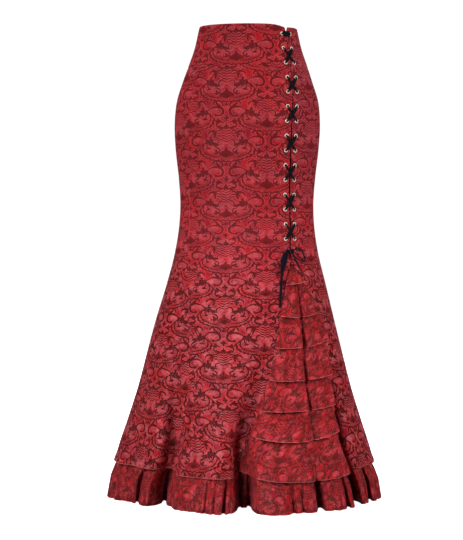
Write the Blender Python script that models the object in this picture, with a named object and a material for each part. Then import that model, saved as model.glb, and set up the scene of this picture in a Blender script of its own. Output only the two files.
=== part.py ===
# Mermaid fishtail skirt: fitted to the knee and flared below it, with a laced slit on one side of the front,
# a triangular godet of seven gathered tiers under the slit, and a gathered frill round the hem.
# Metres. +X is the viewer's right, the front faces -Y, +Z is up. The origin is the middle of the waist.
# "Height" means height above the lowest edge of the frill, and "angle" runs round the skirt from the
# middle of the front towards +X. "Lift" is how far a surface stands out from the cloth's outer face.
from collections import namedtuple
import math

import bpy
import numpy as np

# Driving heights
TOP = 1.100  # top edge of the waistband
WAIST = 1.055  # the wearer's waist, where z is 0
BAND_SEAM = 1.003  # waistband to panels
APEX = 0.555  # lower end of the slit and point of the godet
MAIN_HEM = 0.0855  # lower edge of the panels
# Cloth
WALL = 0.0014
RUFFLE_WALL = 0.0016
GAP = 0.0003  # between pieces that are sewn to each other
# Slit and eyelets
SLIT_GAP = 0.0036  # between the two edges of the slit
NOTCH_GAP = 0.0120  # the same at the waistband's top, where the corners are rounded off
NOTCH_DEPTH = 0.030
SLIT_CLOSES = 0.010  # the slit's edges come together over this height at its lower end
EYELET_ROWS = 15
EYELET_PITCH = 0.0337
FIRST_EYELET = 1.0786
EYELET_OFFSET = 0.0120  # from the slit's middle line
EYELET_HOLE, EYELET_RIM, EYELET_THICK = 0.0026, 0.0044, 0.0007
CLOTH_HOLE = 0.0031
CELL = 0.0090  # the square of cloth round each hole
BAND_EYELETS = 3  # rows that lie on the waistband
STRIP = (0.0075, 0.0165, 0.0265)  # the columns of a placket, from the slit's middle line
# Lace
LACE_WIDTH, LACE_THICK, LACE_IN_HOLE = 0.0055, 0.0010, 0.0032
LACE_FRONT, LACE_OVER, LACE_BACK = 0.0020, 0.0037, -0.0027  # its lift: outside, over a crossing, inside
LACE_TUCKED, LACE_TUCKED_BACK = 0.0020, -0.0031  # width and lift where it is folded narrow behind the knot
# Strip behind the slit: it is this far behind the cloth's inner face at its sides, and deeper between them
UNDERLAY_CLEAR, UNDERLAY_LIFT = 0.0009, -0.0050
UNDERLAY_HALF = 0.0200  # half the breadth of its deeper middle
UNDERLAY_TOP, UNDERLAY_END = 1.0985, 0.5590
# Knot of the bow
KNOT_HEIGHT = 0.579
KNOT_SIZE = (0.0110, 0.0100, 0.0060)
KNOT_LIFT = 0.0032

Section = namedtuple("Section", "height half_width front back centre")
SECTIONS = [
    Section(1.100, 0.1135, 0.086, 0.094, 0.0010),
    Section(1.044, 0.1267, 0.091, 0.099, 0.0010),
    Section(1.007, 0.1396, 0.098, 0.106, 0.0008),
    Section(0.969, 0.1525, 0.104, 0.114, 0.0000),
    Section(0.932, 0.1642, 0.108, 0.122, 0.0000),
    Section(0.875, 0.1701, 0.112, 0.131, -0.0005),
    Section(0.819, 0.1677, 0.113, 0.132, -0.0010),
    Section(0.744, 0.1595, 0.112, 0.124, -0.0012),
    Section(0.688, 0.1560, 0.112, 0.119, -0.0015),
    Section(0.650, 0.1572, 0.114, 0.120, -0.0018),
    Section(0.575, 0.1677, 0.124, 0.130, -0.0024),
    Section(0.500, 0.1865, 0.140, 0.147, -0.0030),
    Section(0.425, 0.2070, 0.157, 0.166, -0.0055),
    Section(0.331, 0.2318, 0.180, 0.192, -0.0068),
    Section(0.256, 0.2515, 0.198, 0.214, -0.0072),
    Section(0.181, 0.2748, 0.217, 0.238, -0.0077),
    Section(0.106, 0.2985, 0.236, 0.262, -0.0082),
    Section(0.000, 0.3120, 0.252, 0.284, -0.0085),
]

# Lines sewn or slit down the front, by their distance to the viewer's right of the middle
Mark = namedtuple("Mark", "height x")
LINES = {
    "princess": [Mark(1.100, -0.090), Mark(1.003, -0.118), Mark(0.925, -0.1325), Mark(0.750, -0.134),
                 Mark(0.563, -0.1385), Mark(0.327, -0.1366), Mark(0.200, -0.152), Mark(0.0855, -0.1776),
                 Mark(0.000, -0.190)],
    "slit": [Mark(1.100, 0.087), Mark(1.044, 0.092), Mark(1.010, 0.0975), Mark(0.947, 0.1027),
             Mark(0.874, 0.1007), Mark(0.800, 0.098), Mark(0.737, 0.0961), Mark(0.606, 0.0973),
             Mark(0.555, 0.0965), Mark(0.400, 0.0965)],
    "godet_left": [Mark(0.555, 0.0965), Mark(0.505, 0.085), Mark(0.433, 0.072), Mark(0.363, 0.061),
                   Mark(0.290, 0.0466), Mark(0.2235, 0.0232), Mark(0.159, 0.001), Mark(0.0855, -0.023),
                   Mark(0.000, 0.012)],
    "godet_right": [Mark(0.555, 0.0965), Mark(0.505, 0.128), Mark(0.433, 0.162), Mark(0.363, 0.178),
                    Mark(0.290, 0.186), Mark(0.2235, 0.193), Mark(0.159, 0.2055), Mark(0.0855, 0.2255),
                    Mark(0.000, 0.242)],
}

# Folds of the flare. A fold follows a line at an offset in metres, or stands at an angle in degrees.
# Depth is at the hem and negative inwards, width is half the fold's breadth there, both in metres.
Fold = namedtuple("Fold", "follows at depth width start")
FOLDS = [
    Fold("princess", 0.000, -0.044, 0.030, 0.460),
    Fold("godet_left", -0.019, -0.041, 0.026, 0.300),
    Fold("godet_right", 0.017, -0.040, 0.024, 0.400),
    Fold("angle", -60, -0.032, 0.075, 0.380),
    Fold("angle", -67, -0.009, 0.024, 0.280),
    Fold("angle", -25, -0.020, 0.045, 0.400),
    Fold("angle", -10, 0.012, 0.035, 0.300),
    Fold("angle", 14, 0.010, 0.040, 0.300),
    Fold("angle", 22, -0.010, 0.018, 0.130),
    Fold("angle", 33, -0.012, 0.018, 0.150),
    Fold("angle", 68, -0.011, 0.026, 0.260),
    Fold("angle", 107, 0.010, 0.050, 0.360),
    Fold("angle", 126, -0.030, 0.050, 0.420),
    Fold("angle", 152, 0.012, 0.060, 0.360),
    Fold("angle", 180, -0.034, 0.052, 0.460),
    Fold("angle", 208, 0.012, 0.060, 0.360),
    Fold("angle", 235, -0.032, 0.050, 0.400),
    Fold("angle", 254, 0.010, 0.050, 0.360),
]

# Each tier's lower edge, at its left end, middle and right end, and how many gathers it has
Tier = namedtuple("Tier", "left middle right gathers")
TIERS = [
    Tier(0.504, 0.506, 0.511, 2),
    Tier(0.433, 0.431, 0.444, 4),
    Tier(0.362, 0.364, 0.378, 5),
    Tier(0.291, 0.290, 0.3005, 6),
    Tier(0.225, 0.223, 0.233, 7),
    Tier(0.1705, 0.156, 0.176, 8),
    Tier(0.087, 0.069, 0.080, 9),
]
TIER_STEPS = 5  # columns for each gather
TIER_ROWS = (1.0, 0.62, 0.3, 0.0)  # from its lower edge to its gathered edge
TIER_TOP = APEX - 0.012
TIER_INSET = 0.0010  # from the godet's borders
TIER_OVERLAP = 0.018  # how far a tier's gathered edge is hidden under the tier above
TIER_RISE = 0.0135  # how far its lower edge stands out
TIER_SEAT = 0.0006  # its gathered edge above the godet
TIER_WAVE = (0.0005, 0.0033)  # half the gathers' depth at the gathered edge, and what it grows by
TIER_BUNCH = 0.16  # how far the gathers crowd together, as a share of one
# A crease down through the tiers
CREASE = [Mark(0.520, 0.107), Mark(0.480, 0.113), Mark(0.433, 0.1165), Mark(0.374, 0.123),
          Mark(0.312, 0.1245), Mark(0.238, 0.1345), Mark(0.100, 0.150)]
CREASE_SHARE = 0.45  # how much of a tier's rise it takes away
CREASE_WIDTH = 0.045  # in radians

# Folds of the frill, by angle in degrees: depth at its lower edge and half the breadth of the narrow part
FrillFold = namedtuple("FrillFold", "at depth width")
FRILL_FOLDS = [
    FrillFold(-73.0, 0.008, 0.012), FrillFold(-62.8, 0.028, 0.010), FrillFold(-52.5, 0.006, 0.010),
    FrillFold(-41.8, 0.024, 0.009), FrillFold(-37.0, 0.008, 0.006), FrillFold(-27.0, 0.005, 0.012),
    FrillFold(-18.0, 0.007, 0.008), FrillFold(-9.3, 0.011, 0.007), FrillFold(-0.5, 0.012, 0.010),
    FrillFold(10.5, 0.004, 0.012), FrillFold(19.7, 0.010, 0.008), FrillFold(33.5, 0.029, 0.010),
    FrillFold(44.5, 0.006, 0.010), FrillFold(61.5, 0.022, 0.009), FrillFold(72.0, 0.024, 0.009),
    FrillFold(81.0, 0.008, 0.010), FrillFold(99.0, 0.020, 0.010), FrillFold(108.5, 0.012, 0.012),
    FrillFold(119.0, 0.025, 0.010), FrillFold(133.5, 0.014, 0.009), FrillFold(144.0, 0.022, 0.010),
    FrillFold(157.0, 0.009, 0.012), FrillFold(168.5, 0.024, 0.010), FrillFold(180.0, 0.014, 0.010),
    FrillFold(193.0, 0.020, 0.009), FrillFold(204.0, 0.010, 0.012), FrillFold(217.5, 0.026, 0.010),
    FrillFold(229.0, 0.012, 0.009), FrillFold(241.5, 0.022, 0.010), FrillFold(255.0, 0.015, 0.010),
    FrillFold(263.0, 0.018, 0.009), FrillFold(279.0, 0.008, 0.010),
]
FRILL_STATIONS = (-1.9, -0.8, 0, 0.8, 1.9)  # a fold's columns, in its widths
FRILL_STEPS = (0.004, 0.022)  # the shortest and the widest step between columns
FRILL_NARROW = 0.75  # the narrow part's share of a fold; the rest is three times as wide
FRILL_PUFF = 0.0105  # how far the cloth between the folds stands out at its lower edge
FRILL_RAISED = 0.20  # how far a fold lifts the lower edge, for each metre of its depth
FRILL_TOP = 0.0945
FrillRow = namedtuple("FrillRow", "height lift share")
FRILL_ROWS = [
    FrillRow(FRILL_TOP, -0.0032, 0.00),
    FrillRow(0.0900, -0.0044, 0.06),
    FrillRow(0.0845, -0.0054, 0.16),
    FrillRow(0.0440, -0.0020, 0.65),
    FrillRow(0.0000, 0.0000, 1.00),
]

BAND_ROWS = [BAND_SEAM + GAP / 2, FIRST_EYELET - EYELET_PITCH - CELL / 2, TOP]
PANEL_ROWS = ([MAIN_HEM, 0.112, 0.155, 0.205, 0.265, 0.335, 0.410, 0.485, APEX]
              + [FIRST_EYELET - row * EYELET_PITCH - CELL / 2 for row in (14, 12, 10, 8, 6, 4)]
              + [BAND_SEAM - GAP / 2])
# How a panel is divided across: even steps, or closer ones where a fold runs
BAND_SHARES = np.linspace(0, 1, 21)
SIDE_SHARES = [0, 0.22, 0.42, 0.60, 0.74, 0.85, 0.93, 1]
CENTRE_SHARES = np.linspace(0, 1, 13)
RIGHT_SHARES = np.linspace(0, 1, 7)
BACK_SHARES = np.linspace(0, 1, 13)
GODET_SHARES = [0, 0.04, 0.08, 0.13, 0.19, 0.27, 0.38, 0.50, 0.62, 0.73, 0.81, 0.87, 0.92, 0.96, 1]

LEFT_SEAM, RIGHT_SEAM, BACK_SEAM = -math.pi / 2, math.pi / 2, math.pi
LEFT_SEAM_AGAIN = LEFT_SEAM + 2 * math.pi


def smooth(rows, column, height):
    """A cubic through one column of a table, each row's slope taken from the rows beside it."""
    knots = np.array([row.height for row in rows])[::-1]
    values = np.array([getattr(row, column) for row in rows])[::-1]
    slopes = np.gradient(values, knots)
    height = np.clip(height, knots[0], knots[-1])
    i = np.clip(np.searchsorted(knots, height) - 1, 0, len(knots) - 2)
    step = knots[i + 1] - knots[i]
    u = (height - knots[i]) / step
    ends = (2 * u**3 - 3 * u**2 + 1) * values[i] + (3 * u**2 - 2 * u**3) * values[i + 1]
    return ends + step * ((u**3 - 2 * u**2 + u) * slopes[i] + (u**3 - u**2) * slopes[i + 1])


def section(angle, height):
    """Half width, depth towards this angle's side, and middle of the plain section at a height."""
    front, back = smooth(SECTIONS, "front", height), smooth(SECTIONS, "back", height)
    depth = np.where(np.cos(angle) >= 0, front, back)
    return smooth(SECTIONS, "half_width", height), depth, smooth(SECTIONS, "centre", height)


def shift(angle, height, distance):
    """The angle that lies a distance further round the cloth."""
    half_width, depth, _ = section(angle, height)
    return angle + distance / np.hypot(half_width * np.cos(angle), depth * np.sin(angle))


def line(name, height, distance=0.0):
    """The angle of a named line at a height, moved round by a distance."""
    rows = LINES[name] if isinstance(name, str) else name
    half_width, _, centre = section(0.0, height)
    return shift(np.arcsin((smooth(rows, "x", height) - centre) / half_width), height, distance)


def fold_depth(angle, height):
    """How far the folds move the cloth out: each is a bell across, and grows from its start to the hem."""
    half_width, depth, _ = section(angle, height)
    rate = np.hypot(half_width * np.cos(angle), depth * np.sin(angle))
    total = np.zeros(np.broadcast(angle, height).shape)
    for fold in FOLDS:
        if fold.follows == "angle":
            middle = math.radians(fold.at)
        else:
            middle = line(fold.follows, np.minimum(height, APEX), fold.at)
        away = (angle - middle + math.pi) % (2 * math.pi) - math.pi
        grown = np.clip((fold.start - height) / fold.start, 0, 1) ** 1.4
        total = total + fold.depth * grown * np.exp(-((away * rate / fold.width) ** 2))
    return total


def place(angle, height, lift=0.0):
    """The point on the skirt at an angle and a height, standing out by lift, as an array of x, y and z."""
    half_width, depth, centre = section(angle, height)
    out_x, out_y = depth * np.sin(angle), -half_width * np.cos(angle)
    out = (fold_depth(angle, height) + lift) / np.hypot(out_x, out_y)
    x = centre + half_width * np.sin(angle) + out * out_x
    y = -depth * np.cos(angle) + out * out_y
    return np.stack(np.broadcast_arrays(x, y, height - WAIST), axis=-1)


def make_material(name, colour, roughness, metallic=0.0):
    material = bpy.data.materials.new(name)
    material.use_nodes = True
    shader = material.node_tree.nodes["Principled BSDF"]
    shader.inputs["Base Color"].default_value = (*colour, 1.0)
    shader.inputs["Roughness"].default_value = roughness
    shader.inputs["Metallic"].default_value = metallic
    return material


def add_object(name, points, faces, material, smooth_angle=40):
    mesh = bpy.data.meshes.new(name)
    mesh.from_pydata([tuple(p) for p in points], [], faces)
    mesh.materials.append(material)
    mesh.shade_smooth()
    mesh.set_sharp_from_angle(angle=math.radians(smooth_angle))
    made = bpy.data.objects.new(name, mesh)
    bpy.context.scene.collection.objects.link(made)
    return made


def shell(name, outer, inner, faces, material):
    """A closed wall: faces on its outer points, the same turned over on its inner points, and its rims."""
    count = len(outer)
    edges = {(face[k], face[(k + 1) % len(face)]) for face in faces for k in range(len(face))}
    rims = [(b, a, a + count, b + count) for a, b in edges if (b, a) not in edges]
    turned = [tuple(i + count for i in reversed(face)) for face in faces]
    return add_object(name, np.concatenate([outer, inner]), list(faces) + turned + sorted(rims), material)


def grid_faces(rows, columns):
    """Squares of a grid whose rows run up and whose columns run round."""
    return [(r * columns + c, r * columns + c + 1, (r + 1) * columns + c + 1, (r + 1) * columns + c)
            for r in range(rows - 1) for c in range(columns - 1)]


class Net:
    """Cloth laid out by angle and height. Columns are functions of height; those in fine have closer rows."""

    def __init__(self, columns, rows, fine=(), fine_rows=(), eyelets=(), eyelet_column=None):
        self.columns, self.fine = columns, set(fine)
        self.rows, self.fine_rows = sorted(rows), sorted(set(rows) | set(fine_rows))
        self.eyelets, self.eyelet_column = eyelets, eyelet_column
        self.index, self.angles, self.heights, self.faces = {}, [], [], []
        for column in range(len(columns) - 1):
            both = {column, column + 1} & self.fine
            if len(both) == 2:
                self.fine_strip(column)
            else:
                self.coarse_strip(column)

    def add(self, angle, height):
        self.angles.append(float(angle))
        self.heights.append(float(height))
        return len(self.angles) - 1

    def vertex(self, column, height):
        key = (column, height)
        if key not in self.index:
            self.index[key] = self.add(self.columns[column](height), height)
        return self.index[key]

    def side(self, column, low, high):
        rows = self.fine_rows if column in self.fine else self.rows
        return [self.vertex(column, h) for h in rows if low <= h <= high]

    def coarse_strip(self, column):
        for low, high in zip(self.rows, self.rows[1:]):
            left, right = self.side(column, low, high), self.side(column + 1, low, high)
            if len(left) == len(right) == 2:
                self.faces.append((left[0], right[0], right[1], left[1]))
            elif len(left) > 2:
                half = len(left) // 2
                self.faces += [(left[k], right[0], left[k + 1]) for k in range(half)]
                self.faces.append((left[half], right[0], right[1]))
                self.faces += [(left[k], right[1], left[k + 1]) for k in range(half, len(left) - 1)]
            else:
                half = len(right) // 2
                self.faces += [(left[0], right[k], right[k + 1]) for k in range(half)]
                self.faces.append((left[0], right[half], left[1]))
                self.faces += [(left[1], right[k], right[k + 1]) for k in range(half, len(right) - 1)]

    def fine_strip(self, column):
        for low, high in zip(self.fine_rows, self.fine_rows[1:]):
            corners = [self.vertex(column, low), self.vertex(column + 1, low),
                       self.vertex(column + 1, high), self.vertex(column, high)]
            holes = [e for e in self.eyelets if low < e < high]
            if column == self.eyelet_column and holes:
                self.ring(corners, holes[0])
            else:
                self.faces.append(tuple(corners))

    def ring(self, corners, height):
        """The square of cloth round an eyelet's eight-sided hole."""
        column = self.eyelet_column
        middle = (self.columns[column](height) + self.columns[column + 1](height)) / 2
        turns = [math.radians(202.5 + 45 * k) for k in range(8)]
        hole = [self.add(shift(middle, height, CLOTH_HOLE * math.cos(a)), height + CLOTH_HOLE * math.sin(a))
                for a in turns]
        for k, corner in enumerate(corners):
            following = corners[(k + 1) % 4]
            first, second, third = hole[2 * k], hole[2 * k + 1], hole[(2 * k + 2) % 8]
            self.faces.append((corner, second, first))
            self.faces.append((corner, following, third, second))

    def build(self, name, material, lift=0.0, wall=WALL):
        angles, heights = np.array(self.angles), np.array(self.heights)
        outer, inner = place(angles, heights, lift), place(angles, heights, lift - wall)
        return shell(name, outer, inner, self.faces, material)


def half_gap(height):
    """Half the gap at the slit, which widens where the waistband's corners are rounded off."""
    near_top = max(0.0, (height - TOP + NOTCH_DEPTH) / NOTCH_DEPTH)
    return SLIT_GAP / 2 + (NOTCH_GAP - SLIT_GAP) / 2 * near_top**2


def opening_edge(side, height):
    """A panel's edge beside the slit, or the godet below it. Side is -1 on the left, 1 on the right."""
    if height > APEX:
        return line("slit", height, side * half_gap(height))
    return line("godet_left" if side < 0 else "godet_right", height, side * GAP / 2)


def placket_column(side, distance, height):
    """A column of the placket, at a distance from the slit's middle line or from the godet's edge."""
    name = "slit" if height > APEX else ("godet_left" if side < 0 else "godet_right")
    return line(name, height, side * distance)


def between(start, end, share):
    return lambda height: start(height) + share * (end(height) - start(height))


def centre_columns(start):
    """Columns from a border on the left to the slit's left edge."""
    inner = lambda height: placket_column(-1, STRIP[2], height)
    columns = [between(start, inner, share) for share in CENTRE_SHARES]
    columns += [lambda height, d=d: placket_column(-1, d, height) for d in STRIP[1::-1]]
    columns.append(lambda height: opening_edge(-1, height))
    return columns


def right_columns():
    """Columns from the slit to the right side seam."""
    inner = lambda height: placket_column(1, STRIP[2], height)
    columns = [lambda height: opening_edge(1, height)]
    columns += [lambda height, d=d: placket_column(1, d, height) for d in STRIP[:2]]
    columns += [between(inner, seam(RIGHT_SEAM, -1), share) for share in RIGHT_SHARES]
    return columns


def seam(angle, side):
    """One side of a seam at a fixed angle: -1 just before it, 1 just after."""
    return lambda height: shift(angle, height, side * GAP / 2)


def princess(side):
    return lambda height: line("princess", height, side * GAP / 2)


def eyelet_heights(first, last):
    return [FIRST_EYELET - row * EYELET_PITCH for row in range(first, last)]


def cell_rows(eyelets):
    return [e + sign * CELL / 2 for e in eyelets for sign in (-1, 1)]


def plain_net(start, end, shares, rows):
    return Net([between(start, end, share) for share in shares], rows)


def laced_net(columns, side, rows, eyelets, extra_rows=()):
    """A net with a placket at its slit edge: on its right for side -1, on its left for side 1."""
    last = len(columns) - 1
    fine, eyelet_column = ((last - 2, last - 1, last), last - 2) if side < 0 else ((0, 1, 2), 1)
    return Net(columns, rows, fine, cell_rows(eyelets) + list(extra_rows), eyelets, eyelet_column)


def make_waistband(material):
    eyelets = eyelet_heights(0, BAND_EYELETS)
    corner = [TOP - NOTCH_DEPTH / 4]
    left = centre_columns(seam(LEFT_SEAM, 1))
    laced_net(left, -1, BAND_ROWS, eyelets, corner).build("waistband_front", material)
    laced_net(right_columns(), 1, BAND_ROWS, eyelets, corner).build("waistband_right", material)
    back = plain_net(seam(RIGHT_SEAM, 1), seam(LEFT_SEAM_AGAIN, -1), BAND_SHARES, BAND_ROWS)
    back.build("waistband_back", material)


def make_panels(material):
    eyelets = eyelet_heights(BAND_EYELETS, EYELET_ROWS)
    slit_end = [APEX + SLIT_CLOSES]
    left = centre_columns(princess(1))
    plain_net(seam(LEFT_SEAM, 1), princess(-1), SIDE_SHARES, PANEL_ROWS).build("front_side_panel", material)
    laced_net(left, -1, PANEL_ROWS, eyelets, slit_end).build("front_centre_panel", material)
    laced_net(right_columns(), 1, PANEL_ROWS, eyelets, slit_end).build("front_right_panel", material)
    back_right = plain_net(seam(RIGHT_SEAM, 1), seam(BACK_SEAM, -1), BACK_SHARES, PANEL_ROWS)
    back_left = plain_net(seam(BACK_SEAM, 1), seam(LEFT_SEAM_AGAIN, -1), BACK_SHARES, PANEL_ROWS)
    back_right.build("back_right_panel", material)
    back_left.build("back_left_panel", material)


def godet_border(side):
    name = "godet_left" if side < 0 else "godet_right"
    return lambda height: line(name, height, -side * GAP / 2)


def make_godet(material):
    rows = [row for row in PANEL_ROWS if row < APEX - GAP] + [APEX - 0.008]
    plain_net(godet_border(-1), godet_border(1), GODET_SHARES, rows).build("godet", material)


def make_underlay(material):
    """The strip behind the slit: it lies against the panels at its sides, with room for the lace between."""
    seat = -WALL - UNDERLAY_CLEAR
    lifts = np.array([seat, seat, UNDERLAY_LIFT, UNDERLAY_LIFT, seat, seat])
    rows = [UNDERLAY_END] + [row for row in PANEL_ROWS if row > APEX] + BAND_ROWS[1:2] + [UNDERLAY_TOP]
    inner = len(CENTRE_SHARES)
    angles = []
    for height in rows:
        start = princess(1) if height < BAND_SEAM else seam(LEFT_SEAM, 1)
        edges = centre_columns(start)[inner - 2:inner] + right_columns()[3:5]
        middle = [line("slit", height, side * UNDERLAY_HALF) for side in (-1, 1)]
        sides = [edge(height) for edge in edges]
        angles.append(sides[:2] + middle + sides[2:])
    angles = np.array(angles)
    heights = np.array(rows)[:, None] + 0 * angles
    outer = place(angles, heights, lifts + 0 * angles).reshape(-1, 3)
    inner = place(angles, heights, lifts - WALL + 0 * angles).reshape(-1, 3)
    shell("lacing_underlay", outer, inner, grid_faces(*angles.shape), material)


def tier_edge(tier, share):
    """Height of a tier's lower edge, a parabola through its three given heights."""
    left, middle, right = tier.left, tier.middle, tier.right
    return left + share * (4 * middle - 3 * left - right) + share**2 * (2 * left + 2 * right - 4 * middle)


def tier_wave(number, share, gathers):
    """Gathers across a tier, uneven in breadth and height, between -1 and 1."""
    phase = 2 * math.pi * (gathers * share + TIER_BUNCH * np.sin(4 * math.pi * share + number))
    return np.sin(phase + 0.9 * number) * (0.75 + 0.25 * np.sin(5 * share + 2.1 * number))


def make_tiers(material):
    rows = np.array(TIER_ROWS)[:, None]
    for number, tier in enumerate(TIERS):
        share = np.linspace(0, 1, tier.gathers * TIER_STEPS + 1)[None, :]
        above = tier_edge(TIERS[number - 1], share) + TIER_OVERLAP if number else TIER_TOP + 0 * share
        height = above + rows * (tier_edge(tier, share) - above)
        start, end = line("godet_left", height, TIER_INSET), line("godet_right", height, -TIER_INSET)
        angle = start + share * (end - start)
        crease = np.exp(-(((angle - line(CREASE, height)) / CREASE_WIDTH) ** 2)) if number else 0
        rise = TIER_RISE * rows**1.3 * (1 - CREASE_SHARE * crease)
        wave = (TIER_WAVE[0] + TIER_WAVE[1] * rows) * (1 + tier_wave(number, share, tier.gathers))
        lift = RUFFLE_WALL + TIER_SEAT + rise + wave
        outer = place(angle, height, lift).reshape(-1, 3)
        inner = place(angle, height, lift - RUFFLE_WALL).reshape(-1, 3)
        shell(f"ruffle_tier_{number + 1}", outer, inner, grid_faces(*height.shape), material)


def panel_outline(height):
    """Angles and points of the panels at one of their rows, in order round the skirt."""
    columns = [between(seam(LEFT_SEAM, 1), princess(-1), share) for share in SIDE_SHARES]
    columns += centre_columns(princess(1))
    columns += [between(godet_border(-1), godet_border(1), share) for share in GODET_SHARES]
    columns += right_columns()
    columns += [between(seam(RIGHT_SEAM, 1), seam(BACK_SEAM, -1), share) for share in BACK_SHARES]
    columns += [between(seam(BACK_SEAM, 1), seam(LEFT_SEAM_AGAIN, -1), share) for share in BACK_SHARES]
    angles = np.array([column(height) for column in columns])
    return angles, place(angles, height)


def off_curve(angle, height):
    """How far the panels' straight runs lie from the smooth curve, at one of their rows."""
    angles, points = panel_outline(height)
    runs = np.stack([np.interp(angle, angles, points[:, k]) for k in range(2)], axis=-1)
    return runs - place(angle, height)[..., :2]


def frill_depth(angle):
    """Depth of the frill's folds at its lower edge: each is a narrow bell on a wide and shallow one."""
    half_width, depth, _ = section(angle, MAIN_HEM)
    rate = np.hypot(half_width * np.cos(angle), depth * np.sin(angle))
    total = np.zeros(np.shape(angle))
    for fold in FRILL_FOLDS:
        turn = (angle - math.radians(fold.at) + math.pi) % (2 * math.pi) - math.pi
        away = (turn * rate / fold.width) ** 2
        bells = FRILL_NARROW * np.exp(-away) + (1 - FRILL_NARROW) * np.exp(-away / 9)
        total = total + fold.depth * bells
    return total


def frill_angles(start, end):
    """Angles of the frill's columns: those of the panels above it, and closer ones at its folds."""
    kept = [start, end] + [float(angle) for angle in panel_outline(MAIN_HEM)[0] if start < angle < end]
    least, most = [step / SECTIONS[-1].half_width for step in FRILL_STEPS]
    for fold in FRILL_FOLDS:
        for turn in (0, 2 * math.pi):
            for station in FRILL_STATIONS:
                mark = float(shift(math.radians(fold.at) + turn, MAIN_HEM, station * fold.width))
                if start < mark < end and min(abs(mark - other) for other in kept) > least:
                    kept.append(mark)
    kept.sort()
    angles = [start]
    for mark in kept[1:]:
        steps = math.ceil((mark - angles[-1]) / most)
        angles += list(np.linspace(angles[-1], mark, steps + 1)[1:])
    return np.array(angles)


def grid_normals(points):
    """Unit normals of a grid of points whose rows run up and whose columns run round."""
    out = np.cross(np.gradient(points, axis=1), np.gradient(points, axis=0))
    return out / np.linalg.norm(out, axis=-1, keepdims=True)


def make_frill(name, start, end, material):
    """Half of the frill: its gathered edge is inside the panels' lower edge, and its folds grow downwards."""
    angle = frill_angles(float(start(MAIN_HEM)), float(end(MAIN_HEM)))[None, :]
    rows = FRILL_ROWS[::-1]
    share = np.array([row.share for row in rows])[:, None]
    fold = share * frill_depth(angle)
    raised = FRILL_RAISED * fold * (1 - np.array([row.height for row in rows])[:, None] / FRILL_TOP)
    height = np.array([row.height for row in rows])[:, None] + raised
    lift = np.array([row.lift for row in rows])[:, None] + share * FRILL_PUFF - fold
    above = PANEL_ROWS[1]
    blend = np.clip((height - MAIN_HEM) / (above - MAIN_HEM), 0, 1)[..., None]
    moved = (1 - blend) * off_curve(angle, MAIN_HEM) + blend * off_curve(angle, above)
    outer = place(angle, height, lift)
    outer[..., :2] += moved
    inner = outer - RUFFLE_WALL * grid_normals(outer)
    # Its two ends are cut square to the seams
    straight = place(angle, height, lift - RUFFLE_WALL)
    straight[..., :2] += moved
    inner[:, [0, -1]] = straight[:, [0, -1]]
    shell(name, outer.reshape(-1, 3), inner.reshape(-1, 3), grid_faces(*height.shape), material)


def slit_frame(height, across, lift):
    """Point, and directions across, up and out, at a distance across from the slit's middle line."""
    angle, step = line("slit", height, across), 0.0005
    point = place(angle, height, lift)
    side = place(shift(angle, height, step), height) - place(angle, height)
    up = place(line("slit", height + step, across), height + step) - place(angle, height)
    side, up = side / np.linalg.norm(side), up / np.linalg.norm(up)
    out = np.cross(side, up)
    return point, np.array([side, up, out / np.linalg.norm(out)])


def make_eyelet(name, row, side, material, segments=8):
    """A flat metal ring seated on the cloth round one hole."""
    height = FIRST_EYELET - row * EYELET_PITCH
    middle, axes = slit_frame(height, side * EYELET_OFFSET, 0.0)
    profile = [(EYELET_RIM, GAP), ((EYELET_RIM + EYELET_HOLE) / 2, GAP + EYELET_THICK), (EYELET_HOLE, GAP)]
    points = []
    for k in range(segments):
        turn = 2 * math.pi * (k + 0.5) / segments
        for radius, rise in profile:
            points.append(middle + np.array([radius * math.cos(turn), radius * math.sin(turn), rise]) @ axes)
    count = len(profile)
    faces = [(k * count + j, (k + 1) % segments * count + j, (k + 1) % segments * count + (j + 1) % count,
              k * count + (j + 1) % count) for k in range(segments) for j in range(count)]
    add_object(name, points, faces, material)


# A point on a lace's route: across, height and lift, its width there, and the way its width points
Stop = namedtuple("Stop", "across height lift width way")
ACROSS, UP, OUT = (1, 0, 0), (0, 1, 0), (0, 0, 1)


def ribbon(name, stops, material, thick=LACE_THICK):
    """A flat band along its stops, with a four-cornered section at each."""
    points, ways = [], []
    for stop in stops:
        point, axes = slit_frame(stop.height, stop.across, stop.lift)
        points.append(point)
        ways.append(np.array(stop.way) @ axes)
    points = np.array(points)
    steps = np.diff(points, axis=0)
    steps /= np.linalg.norm(steps, axis=1)[:, None]
    tangents = np.concatenate([steps[:1], steps[1:] + steps[:-1], steps[-1:]])
    corners = []
    for point, tangent, way, stop in zip(points, tangents, ways, stops):
        tangent = tangent / np.linalg.norm(tangent)
        way = way - tangent * (way @ tangent)
        way = way / np.linalg.norm(way) * stop.width / 2
        rise = np.cross(tangent, way)
        rise = rise / np.linalg.norm(rise) * thick / 2
        corners += [point - way - rise, point + way - rise, point + way + rise, point - way + rise]
    last = 4 * (len(stops) - 1)
    faces = [(3, 2, 1, 0), (last, last + 1, last + 2, last + 3)]
    faces += [(4 * k + j, 4 * k + (j + 1) % 4, 4 * k + 4 + (j + 1) % 4, 4 * k + 4 + j)
              for k in range(len(stops) - 1) for j in range(4)]
    return add_object(name, corners, faces, material)


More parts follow.
